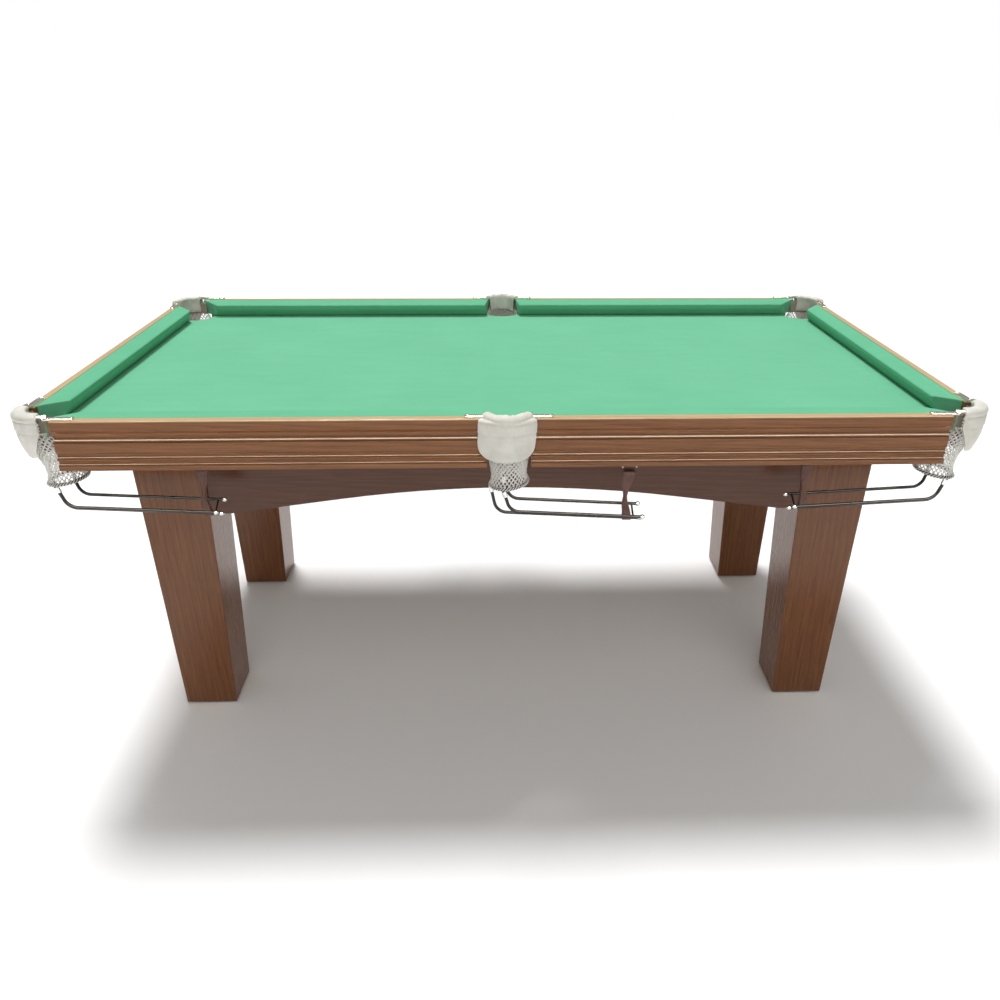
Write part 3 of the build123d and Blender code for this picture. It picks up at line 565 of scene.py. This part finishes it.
# ------------------------------------------------------------------ pockets in plan, in millimetres
CORNER_X, CORNER_Y, MIDDLE_Y = 928.0, 467.0, 491.0
RING_X, RING_Y, RING_MIDDLE_Y = 917.0, 457.0, 497.0
FALL_MIDDLE_Y, FALL_RADIUS = 513.0, 57.0
BED = BED_Z / MM
HEAD = TOP / MM


def pocket(place):
    """What one pocket's pieces need: bow and ring centres, outward angle, and the runner's way and body."""
    sx, sy = hand(place)
    corner = sx != 0
    centre = (sx * CORNER_X, sy * CORNER_Y) if corner else (0.0, sy * MIDDLE_Y)
    ring = (sx * RING_X, sy * RING_Y) if corner else (0.0, sy * RING_MIDDLE_Y)
    angle = math.atan2(sy, sx)
    run = -sx if corner else -sy
    return {"place": place, "corner": corner, "centre": centre, "ring": ring, "angle": angle, "run": run,
            "body": f"runner_{place}"}


def around(spot, radius, turn, z):
    """Point at a radius and a turn in radians from the outward direction of a pocket's bow."""
    a = spot["angle"] + turn
    return (spot["centre"][0] + radius * math.cos(a), spot["centre"][1] + radius * math.sin(a), z)


# ------------------------------------------------------------------ bed cloth
CLOTH_ROLL = 3.0                   # how far the cloth rounds over the edge of a fall
FALL_STEPS = 36
FALLS = ((1, 1), (0, 1), (-1, 1), (-1, -1), (0, -1), (1, -1))


def bed_cloth():
    """Cloth over the slab, with a rounded edge turned down into each of the six falls."""
    hx, hy = SLAB_X / MM, SLAB_Y / MM
    rolled = FALL_RADIUS + CLOTH_ROLL
    outline, strips = [], []
    for sx, sy in FALLS:
        if sx:
            cx, cy = sx * CORNER_X, sy * CORNER_Y
            reach_x, reach_y = hx - CORNER_X, hy - CORNER_Y
            on_end = (sx * reach_x, -sy * math.sqrt(rolled ** 2 - reach_x ** 2))
            on_side = (-sx * math.sqrt(rolled ** 2 - reach_y ** 2), sy * reach_y)
            first, last = (on_end, on_side) if sx * sy > 0 else (on_side, on_end)
        else:
            cx, cy = 0.0, sy * FALL_MIDDLE_Y
            past_edge = FALL_MIDDLE_Y - hy
            back = math.sqrt(rolled ** 2 - past_edge ** 2)
            first, last = (sy * back, -sy * past_edge), (-sy * back, -sy * past_edge)
        a0, a1 = math.atan2(first[1], first[0]), math.atan2(last[1], last[0])
        while a1 > a0:
            a1 -= 2 * math.pi
        arc = [a0 + (a1 - a0) * k / FALL_STEPS for k in range(FALL_STEPS + 1)]
        outline += [(cx + rolled * math.cos(a), cy + rolled * math.sin(a), BED) for a in arc]
        profile = [(rolled, BED)]
        profile += [(rolled - 4 * math.sin(t), BED - 4 + 4 * math.cos(t)) for t in
                    (math.radians(d) for d in (18, 36, 54, 72, 90))]
        profile += [(FALL_RADIUS - 1, BED - 9), (FALL_RADIUS - 1, BED - 18)]
        points = [(cx + r * math.cos(a), cy + r * math.sin(a), z) for r, z in profile for a in arc]
        strips.append((points, grid_faces(len(profile), len(arc))))
    points, faces = join([(outline, [tuple(range(len(outline)))])] + strips)
    piece = mesh_piece("bed_cloth_stretched", points, faces, CLOTH_MAT, "table", ["bed_cloth"])
    work = bmesh.new()
    work.from_mesh(piece.data)
    bmesh.ops.remove_doubles(work, verts=work.verts, dist=0.01 * MM)
    bmesh.ops.recalc_face_normals(work, faces=work.faces)
    work.to_mesh(piece.data)
    work.free()
    if max(piece.data.polygons, key=lambda f: f.area).normal.z < 0:
        piece.data.flip_normals()
    thicken(piece, 1.6)


# ------------------------------------------------------------------ cushions
NOSE_PROFILE_TOP = 828.0
LIP, UNDERCUT = 816.0, 12.0
ROUND_OFF = 2.4                    # radius of the cloth's edges round a cushion's jaws
BACK_Z = 832.4                     # top of a cushion at its back
LONG_DEPTH, END_DEPTH = 54.0, 44.5


def cushion_profile(depth, back_z):
    """(distance behind the nose line, height) from the back of the top, round the nose, to the bed."""
    crown = [(depth * f, lerp(NOSE_PROFILE_TOP, back_z, f) + 0.5 * math.sin(math.pi * f))
             for f in (1.0, 0.9, 0.75, 0.6, 0.45, 0.3, 0.18, 0.1)]
    nose = [(3.4 - 3.4 * math.cos(t), NOSE_PROFILE_TOP - 3.1 + 3.1 * math.sin(t)) for t in
            (math.radians(d) for d in (75, 60, 45, 30, 15, 0))]
    lip = [(0.0, LIP + 4), (0.05, LIP + 1.6), (0.35, LIP - 0.4), (1.2, LIP - 2.2)]
    under = [(lerp(1.2, UNDERCUT, f), lerp(LIP - 2.2, BED + 0.3, f)) for f in (0.25, 0.5, 0.75, 1.0)]
    return crown + nose + lip + under


def cushion(name, place_point, depth, back_z, nose_ends, back_ends):
    """Cloth stretched over one cushion: its top, nose and underside, and both jaw faces."""
    profile = cushion_profile(depth, back_z)
    count = len(profile)
    normals = []
    for j in range(count):
        a, b = profile[max(j - 1, 0)], profile[min(j + 1, count - 1)]
        dx, dz = b[0] - a[0], b[1] - a[1]
        size = math.hypot(dx, dz)
        normals.append((-dz / size, dx / size))      # towards the inside of the cushion
    turns = [math.radians(d) for d in (90, 70, 50, 30, 15, 0)]
    ends = [(ROUND_OFF * (1 - math.sin(t)), ROUND_OFF * (1 - math.cos(t))) for t in turns]
    middle = [k / 12 for k in range(1, 12)]
    rows = [("first", e, inset) for e, inset in ends]
    rows += [("share", f, 0.0) for f in middle]
    rows += [("last", e, inset) for e, inset in reversed(ends)]
    points = []
    for kind, value, inset in rows:
        for (s, z), (nx, nz) in zip(profile, normals):
            si, zi = min(s + nx * inset, depth), max(z + nz * inset, BED + 0.3)
            f = min(max(si / depth, 0.0), 1.0)
            t0, t1 = lerp(nose_ends[0], back_ends[0], f), lerp(nose_ends[1], back_ends[1], f)
            t = {"first": t0 + value, "last": t1 - value,
                 "share": lerp(t0 + ROUND_OFF, t1 - ROUND_OFF, value)}[kind]
            points.append(place_point(t, si, zi))
    faces = grid_faces(len(rows), count)
    for row, ends_at in ((0, 0), (len(rows) - 1, 1)):
        corner = len(points)
        points.append(place_point(back_ends[ends_at], depth, BED + 0.3))
        start = row * count
        for j in range(count - 1):
            faces.append((start + j, start + j + 1, corner))
    piece = mesh_piece(f"{name}_stretched", points, faces, CUSHION_MAT, "table", [name])
    thicken(piece, 1.1)


def cushions():
    """Four long-side cushions and two end cushions."""
    nose_x, nose_y = NOSE_X / MM, NOSE_Y / MM
    for side, sy in (("front", -1), ("back", 1)):
        for end, sx in (("left", -1), ("right", 1)):
            cushion(f"cushion_cloth_{side}_{end}",
                    lambda t, s, z, sx=sx, sy=sy: (sx * t, sy * (nose_y + s), z),
                    LONG_DEPTH, BACK_Z, (52.0, 857.0), (42.5, 911.0))
    for end, sx in (("left", -1), ("right", 1)):
        cushion(f"cushion_cloth_{end}_end",
                lambda t, s, z, sx=sx: (sx * (nose_x + s), t, z),
                END_DEPTH, BACK_Z, (-392.0, 392.0), (-436.5, 436.5))


# ------------------------------------------------------------------ pocket leathers
# (distance from the bow's centre, height) round a roll and its liner: middle pockets, then corner pockets
CAP_SECTION = (
    (38.4, 797.0), (38.3, 806.0), (38.2, 815.0), (38.2, 824.0), (38.4, 831.0), (39.2, 836.5), (41.2, 840.2),
    (44.2, 842.3), (48.0, 843.0), (52.0, 842.8), (55.8, 841.4), (58.8, 838.8), (60.5, 835.4), (60.9, 832.2),
    (60.3, 829.8), (58.9, 829.2), (57.6, 830.6), (56.8, 833.6), (52.0, 834.0), (46.0, 834.0), (42.5, 833.2),
    (41.0, 829.0), (40.8, 820.0), (40.6, 808.0), (40.4, 797.0),
)
CORNER_CAP_SECTION = (
    (38.6, 797.0), (38.5, 806.0), (38.3, 815.0), (37.6, 824.0), (35.6, 830.0), (33.9, 834.0), (33.5, 837.5),
    (34.6, 840.4), (37.4, 842.2), (42.0, 843.0), (48.0, 843.2), (54.0, 842.4), (58.2, 840.2), (60.6, 836.8),
    (61.2, 832.8), (60.7, 829.6), (59.6, 828.6), (58.6, 829.6), (57.6, 832.6), (52.0, 834.0), (46.0, 834.0),
    (42.5, 833.2), (41.0, 829.0), (40.8, 808.0), (40.6, 797.0),
)
CORNER_REACH = math.radians(54.0)  # half of what a corner leather covers of its bow
MIDDLE_REACH = math.radians(62.0)
LINER_REACH = math.radians(84.0)
SEAM_HIGH, SEAM_LOW, FLAP_FOOT = 827.0, 804.5, 747.0
FLAP_APEX, FLAP_HALF, FLAP_SIDE_Y = 551.0, 58.0, 531.7
LEATHER_SLIDE = {"front_middle": -4.5}      # how far a leather hangs off its pocket's centre line
BOW_R, BOW_Z = 49.5, 837.5                  # middle of a roll's section, where its ends draw in to
PLEATS = ((-0.82, 0.9, 0.13), (-0.5, -1.1, 0.12), (-0.26, 0.5, 0.07), (-0.06, 1.15, 0.085),
          (0.1, -0.7, 0.05), (0.2, 0.55, 0.05), (0.36, -0.8, 0.08), (0.62, 1.2, 0.15))


def gathers(u, seed):
    """Uneven pleats along a roll: height and depth of the folds at a place from -1 to 1."""
    draw = random.Random(seed)
    total = 0.0
    for spot, size, width in PLEATS:
        spot += draw.uniform(-0.04, 0.04)
        size *= draw.uniform(0.8, 1.2)
        total += size * math.exp(-((u - spot) / width) ** 2)
    return total


def leather_cap(spot, seed):
    """Padded roll over the bow with the short liner inside the pocket."""
    corner = spot["corner"]
    reach = CORNER_REACH if corner else MIDDLE_REACH
    count = 56
    section = CORNER_CAP_SECTION if corner else CAP_SECTION
    slide = LEATHER_SLIDE.get(spot["place"], 0.0)
    draw = random.Random(seed)
    wobble = [draw.uniform(-1, 1) for _ in range(9)]
    points = []
    for k in range(count + 1):
        u = -1 + 2 * k / count
        end = 1 - abs(u)
        tuck = 1 - (1 - min(end / 0.06, 1.0)) ** 2
        fold = gathers(u, seed) * (0.35 if corner else 1.0) * ease(end / 0.1)
        for r, z in section:
            top = ease((z - 826) / 14) if r < 58 else 0.3 * ease((z - 826) / 14)
            inner = ease((56 - r) / 14)
            turn = u * reach
            if not corner and r > 56 and z < 834.5:
                z = max(z, HEAD + 0.4) if abs(u) > 0.7 else z
            rr = lerp(BOW_R, r, 0.72 + 0.28 * tuck) if z > 830 else r
            zz = lerp(BOW_Z, z, 0.72 + 0.28 * tuck) if z > 830 else z
            rr += fold * 1.5 * inner * top
            zz += fold * 1.9 * top * inner
            rr += 0.25 * sum(w * math.sin((i + 2) * 2.3 * u + i) for i, w in enumerate(wobble)) * top * 0.5
            zz = min(zz, 845.5)
            x, y, zz = around(spot, rr, turn, zz)
            points.append((x + slide * 0.7, y, zz))
    columns = len(section)
    faces = grid_faces(count + 1, columns, wrap=True)
    faces.append(tuple(range(columns)))
    faces.append(tuple(reversed([count * columns + j for j in range(columns)])))
    piece = mesh_piece(f"leather_roll_{spot['place']}", points, faces, LEATHER_MAT, "table",
                       [f"pocket_leather_{spot['place']}"])


def flap_point(spot, u, z, stand):
    """Point of the band or flap, at a place from -1 to 1 across it and a height, standing proud of it."""
    if spot["corner"]:
        low = min(max((SEAM_LOW - z) / (SEAM_LOW - FLAP_FOOT), 0.0), 1.1)
        return around(spot, 58.9 + stand - 12.0 * low ** 1.6, u * CORNER_REACH * (1 - 0.45 * low), z)
    radius = (FLAP_HALF ** 2 + (FLAP_APEX - FLAP_SIDE_Y) ** 2) / (2 * (FLAP_APEX - FLAP_SIDE_Y))
    spread = math.asin(FLAP_HALF / radius)
    sy = math.copysign(1, spot["centre"][1])
    t = u * spread
    x, y = (radius + stand) * math.sin(t), FLAP_APEX - radius + (radius + stand) * math.cos(t)
    hang = ease((z - 829.0) / 7.0)                      # near the top the leather drapes in over the panel
    roll = around(spot, 59.0 + stand, u * MIDDLE_REACH, z)
    slide = LEATHER_SLIDE.get(spot["place"], 0.0) * (0.7 + 0.5 * ease((830.0 - z) / 60))
    return (lerp(-sy * x, roll[0], hang) + slide, lerp(sy * y, roll[1], hang), z)


def flap_foot(spot, u):
    """Height of the flap's lower edge across it."""
    side, power = (754.0, 2.8) if spot["corner"] else (784.0, 2.5)
    return side - (side - FLAP_FOOT) * (1 - abs(u) ** power) ** (1 / power)


def seam_dip(spot, u):
    """How far the seams hang lower in the middle."""
    return 0.0 if spot["corner"] else 1.6 * (1 - u * u)


def leather_flap(spot, seed):
    """Outer band with two seams, and the rounded flap below it."""
    count = 60
    top = 831.0 if spot["corner"] else 835.5
    across = [math.sin(math.pi / 2 * (-1 + 2 * k / count)) for k in range(count + 1)]
    high, low = SEAM_HIGH, SEAM_LOW
    rows = [(top, 0.2), (lerp(top, high, 0.5), 0.9), (high + 2.2, 1.1), (high + 0.7, 0.7), (high, -0.3),
            (high - 0.7, 0.5), (high - 2.4, 1.2), (high - 7, 1.5), (high - 13, 1.4), (low + 3.0, 1.3),
            (low + 1.0, 1.1), (low + 0.1, 0.9), (low - 0.4, -1.0), (low - 1.4, -0.8), (low - 3.0, 0.0)]
    draw = random.Random(seed + 50)
    waves = [(draw.uniform(-1, 1), draw.uniform(1.5, 5.0), draw.uniform(0, 6)) for _ in range(5)]
    points = []
    for z, stand in rows:
        for u in across:
            points.append(flap_point(spot, u, z - seam_dip(spot, u), stand))
    for v in (0.12, 0.24, 0.36, 0.48, 0.6, 0.72, 0.84, 0.93, 1.0):
        for u in across:
            start = low - 3.0 - seam_dip(spot, u)
            foot = flap_foot(spot, u)
            z = lerp(start, foot, v)
            wave = sum(a * math.sin(b * u + c + 2 * v) for a, b, c in waves)
            points.append(flap_point(spot, u, z, 0.1 + 0.28 * wave * v + 0.5 * math.sin(math.pi * v)))
    piece = mesh_piece(f"leather_flap_{spot['place']}", points, grid_faces(len(rows) + 9, count + 1),
                       LEATHER_MAT, "table", [f"pocket_leather_{spot['place']}"])
    mid = piece.data.polygons[len(piece.data.polygons) // 2]
    outward = Vector((math.cos(spot["angle"]), math.sin(spot["angle"]), 0))
    if mid.normal.dot(outward) < 0:
        piece.data.flip_normals()
    thicken(piece, 2.0)


def leather_liner(spot):
    """Strip of leather, suede side out, that backs the pocket's mouth behind a corner roll."""
    points = []
    for z, r in ((826.0, 43.4), (818.0, 42.8), (808.0, 42.6), (799.0, 42.3), (792.0, 41.9)):
        for k in range(41):
            points.append(around(spot, r, LINER_REACH * (-1 + k / 20), z))
    piece = mesh_piece(f"leather_liner_{spot['place']}", points, grid_faces(5, 41), SUEDE_MAT, "table")
    thicken(piece, 1.4)


def leather_stitches(spot):
    """Rows of stitches beside the band's two seams."""
    parts = []
    count = 38
    for z, stand in ((SEAM_HIGH - 2.6, 1.35), (SEAM_LOW + 2.4, 1.3)):
        for k in range(count):
            u = -0.95 + 1.9 * (k + 0.5) / count
            before, after = (Vector(flap_point(spot, u + d, z, stand)) for d in (-0.01, 0.01))
            at = flap_point(spot, u, z - seam_dip(spot, u), stand)
            parts.append(blob(at, after - before, 1.05, 0.42))
    points, faces = join(parts)
    piece = mesh_piece(f"leather_stitches_{spot['place']}", points, faces, THREAD_MAT, "table")


def leather_lacing(spot):
    """Thin cord that laces both side edges of a corner leather's band to the net."""
    parts = []
    for u in (-1, 1):
        line = []
        turns, steps = 4, 72
        for k in range(steps + 1):
            f = k / steps
            z = lerp(830.0, 804.0, f)
            a = 2 * math.pi * turns * f
            out = Vector(flap_point(spot, u, z, 0.0))
            inward = Vector(flap_point(spot, u * 0.93, z, 0.0)) - out
            inward.z = 0
            inward.normalize()
            face = Vector((math.cos(spot["angle"]), math.sin(spot["angle"]), 0))
            line.append(out + inward * (1.0 - 2.6 * math.cos(a)) + face * (2.3 * math.sin(a)))
        parts.append(tube(line, 1.05, 6))
    points, faces = join(parts)
    piece = mesh_piece(f"leather_lacing_{spot['place']}", points, faces, NET_MAT, "table")


# ------------------------------------------------------------------ pocket irons
RIM = 1.7                         # radius of the raised rim along an iron's outer edge
RIM_Z = HEAD + 3.0
CORNER_RIM = ((905.0, 849.0, 517.5), (444.0, 392.0, 966.5))   # start, tip and line on the long and end panels
MIDDLE_RIM = (44.4, 88.0, 517.5)


def rim_route(start, tip, half=6.5, outward=1):
    """Points (along, across) of a rim: the finger's outer edge, then round its tip."""
    way = math.copysign(1, tip - start)
    centre = tip - way * half
    route = [(lerp(start, centre, f), outward * (half - 0.4)) for f in (0.0, 0.2, 0.4, 0.6, 0.8)]
    for k in range(13):
        a = math.radians(90 - 180 * k / 12)
        route.append((centre + way * (half - 0.4) * math.cos(a), outward * (half - 0.4) * math.sin(a)))
    return route


def iron_rims(spot):
    """Bright rounded rim along the outer edge of an iron's plates, from the bow to round each tip."""
    sx, sy = (math.copysign(1, c) for c in spot["centre"][:2])
    lines = []
    if spot["corner"]:
        (a0, a1, line), (b0, b1, side) = CORNER_RIM
        lines.append([(sx * p, sy * (line + q)) for p, q in rim_route(a0, a1)])
        lines.append([(sx * (side + q), sy * p) for p, q in rim_route(b0, b1)])
    else:
        start, tip, line = MIDDLE_RIM
        for way in (-1, 1):
            lines.append([(way * p, sy * (line + q)) for p, q in rim_route(start, tip)])
    parts = []
    for line in lines:
        count = len(line)
        sizes = [RIM if k < count - 9 else RIM * lerp(1.0, 0.45, (k - count + 9) / 8) for k in range(count)]
        parts.append(tube([(x, y, RIM_Z) for x, y in line], sizes, 10))
    points, faces = join(parts)
    piece = mesh_piece(f"iron_rims_{spot['place']}", points, faces, NICKEL_MAT, "table")


# ------------------------------------------------------------------ nets
NET_STRANDS, NET_ROWS = 26, 54
NET_TURN = 2.35                   # how far round a strand leans on its way down, in radians
RING_RADIUS, RING_WIRE, RING_HEIGHT = 38.0, 3.0, 682.0
RING_TILT = math.radians(8.0)
NET_BELLY, NET_WAIST = 41.5, 35.0            # radius of a net below its rim, and just above its ring
RIM_OUTSIDE, RIM_INSIDE = (43.6, 800.0), (46.0, 781.0)     # radius and height of a net's rim
CORD, KNOT = 1.25, 2.2
WHIP, WHIP_TURNS, WHIP_STEPS = 1.0, 40, 400  # cord that ties a net's foot round the ring


def ring_point(spot, a, radius, rise=0.0):
    """Point near the tilted ring at an angle in plan."""
    dx, dy = radius * math.cos(a), radius * math.sin(a)
    tilt = spot["run"] * dx * math.sin(RING_TILT)
    return (spot["ring"][0] + dx, spot["ring"][1] + dy, RING_HEIGHT + tilt + rise)


def net_point(spot, a, v, seed):
    """Surface of the net at an angle in plan and a share of the way down from its rim."""
    outward = math.cos(a - spot["angle"])
    ring_x, ring_y = spot["ring"]
    # rim: laced to the leather's liner outside and to the wall of the bed's fall inside
    outer = ease((outward + 0.25) / 0.6)
    cx, cy = spot["centre"]
    rim_r = lerp(RIM_INSIDE[0], RIM_OUTSIDE[0], outer)
    rim_z = lerp(RIM_INSIDE[1], RIM_OUTSIDE[1], outer)
    foot = ring_point(spot, a, RING_RADIUS - 0.6, RING_WIRE + 0.6)
    z = lerp(rim_z, foot[2], v)
    if v < 0.35:
        r = lerp(rim_r, NET_BELLY, ease(v / 0.35))
    elif v < 0.86:
        r = lerp(NET_BELLY, NET_WAIST, ease((v - 0.35) / 0.51))
    else:
        r = lerp(NET_WAIST, RING_RADIUS - 0.6, ease((v - 0.86) / 0.14))
    mid = ease(v / 0.8)
    x = lerp(cx, ring_x, mid) + r * math.cos(a)
    y = lerp(cy, ring_y, mid) + r * math.sin(a)
    sag = 0.7 * math.sin(5 * a + seed) * math.sin(math.pi * v) + 0.5 * math.sin(11 * a + 2 * seed + 6 * v)
    return (x + sag * math.cos(a), y + sag * math.sin(a), z)


def pocket_net(spot, seed):
    """Knotted diamond net: two sets of cords that lean each way, with a knot at each crossing."""
    parts = []
    for lean in (1, -1):
        for k in range(NET_STRANDS):
            a0 = 2 * math.pi * k / NET_STRANDS
            line = []
            for i in range(NET_ROWS + 1):
                v = i / NET_ROWS
                a = a0 + lean * NET_TURN * v
                lift = 0.5 * lean * math.cos(NET_STRANDS * NET_TURN * v)
                x, y, z = net_point(spot, a, v, seed)
                line.append((x + lift * math.cos(a), y + lift * math.sin(a), z))
            parts.append(tube(line, CORD, 5))
    crossings = int(NET_TURN * NET_STRANDS / math.pi)
    for k in range(NET_STRANDS):
        for j in range(1, crossings + 1):
            v = j * math.pi / NET_STRANDS / NET_TURN
            a = 2 * math.pi * k / NET_STRANDS + NET_TURN * v
            at = net_point(spot, a, v, seed)
            parts.append(blob(at, (math.sin(a) * 0.5, -math.cos(a) * 0.5, 1.0), 2.5, KNOT))
    rim = [net_point(spot, 2 * math.pi * k / 72, 0.0, seed) for k in range(72)]
    parts.append(tube(rim, 1.7, 8, closed=True))
    # whipping that ties the net's foot round the ring
    line = []
    reach = RING_WIRE + WHIP
    for k in range(WHIP_STEPS):
        b = 2 * math.pi * WHIP_TURNS * k / WHIP_STEPS
        a = 2 * math.pi * (k / WHIP_STEPS + 0.012 * math.sin(b))
        line.append(ring_point(spot, a, RING_RADIUS + reach * math.cos(b), reach * math.sin(b)))
    parts.append(tube(line, WHIP, 5, closed=True))
    points, faces = join(parts)
    piece = mesh_piece(f"net_cords_{spot['place']}", points, faces, NET_MAT, None,
                       [f"pocket_net_{spot['place']}"])
    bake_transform(piece)


# ------------------------------------------------------------------ straps
BAR_Z, ROD = 718.0, 3.4
BOTTOM_START, BOTTOM_END = 610.0, 594.0
HANGER_BACK = 25.0


def strap(spot, seed):
    """Leather strap looped over the hanger's bar and under the bottom rod, bunched where it is tied."""
    length = 300.0 if spot["corner"] else 275.0
    strap_x = spot["ring"][0] + spot["run"] * (length - HANGER_BACK)
    strap_y = spot["ring"][1]
    drop = (BOTTOM_START - BOTTOM_END) / length
    rod_z = BOTTOM_END + drop * HANGER_BACK
    bar_r, rod_r = 2.5 + 1.3, ROD + 1.3
    waist_z = 646.0
    route = []                                           # (y, z, half width, bunching)
    for k in range(9):
        a = math.radians(200 - 220 * k / 8)
        route.append((bar_r * math.cos(a), BAR_Z + bar_r * math.sin(a), 13.6, 0.0))
    front = [(705, 13.8, 0.05), (692, 13.0, 0.12), (678, 11.2, 0.3), (666, 8.6, 0.6), (656, 5.6, 0.9),
             (waist_z, 4.0, 1.0), (637, 4.8, 0.9), (628, 6.6, 0.6), (617, 8.2, 0.3), (608, 8.8, 0.1)]
    for z, half, bunch in front:
        f = (BAR_Z - z) / (BAR_Z - rod_z)
        gap = lerp(bar_r, rod_r, f) * (1 - 0.72 * bunch)
        route.append((gap, z, half, bunch))
    for k in range(11):
        a = math.radians(0 - 180 * k / 10)
        route.append((rod_r * math.cos(a), rod_z + rod_r * math.sin(a), 9.0, 0.0))
    for z, half, bunch in reversed(front):
        f = (BAR_Z - z) / (BAR_Z - rod_z)
        gap = lerp(bar_r, rod_r, f) * (1 - 0.72 * bunch)
        route.append((-gap, z, half * 0.94, bunch))
    draw = random.Random(seed)
    across = 13
    points = []
    creases = [(draw.uniform(1.2, 2.6), draw.uniform(0, 6), draw.uniform(-1, 1)) for _ in range(4)]
    for y, z, half, bunch in route:
        lean = 5.0 * math.sin((BAR_Z - z) / 40 + seed) * ease((BAR_Z - z) / 60) * ease((z - rod_z - 4) / 30)
        for j in range(across):
            w = -1 + 2 * j / (across - 1)
            fold = bunch * (1.7 * math.cos(3.4 * w + seed) - 0.4)
            crease = 0.35 * sum(a * math.sin(f * 3 * w + p + z / 9) for f, p, a in creases) * (0.25 + bunch)
            points.append((strap_x + w * half + lean, strap_y + y + fold + crease * 0.6, z))
    piece = mesh_piece(f"leather_strap_{spot['place']}", points, grid_faces(len(route), across), STRAP_MAT,
                       spot["body"], [f"runner_strap_{spot['place']}"])
    body = piece.modifiers.new("thickness", "SOLIDIFY")
    body.thickness = 1.7 * MM
    body.offset = 0


add_camera()
add_studio()
dress_frame()
bed_cloth()
cushions()
for number, place in enumerate(PLACES):
    spot = pocket(place)
    leather_cap(spot, 11 + number)
    leather_flap(spot, 31 + number)
    leather_stitches(spot)
    if spot["corner"]:
        leather_lacing(spot)
        leather_liner(spot)
    iron_rims(spot)
    pocket_net(spot, 0.7 * number)
    strap(spot, 71 + number)
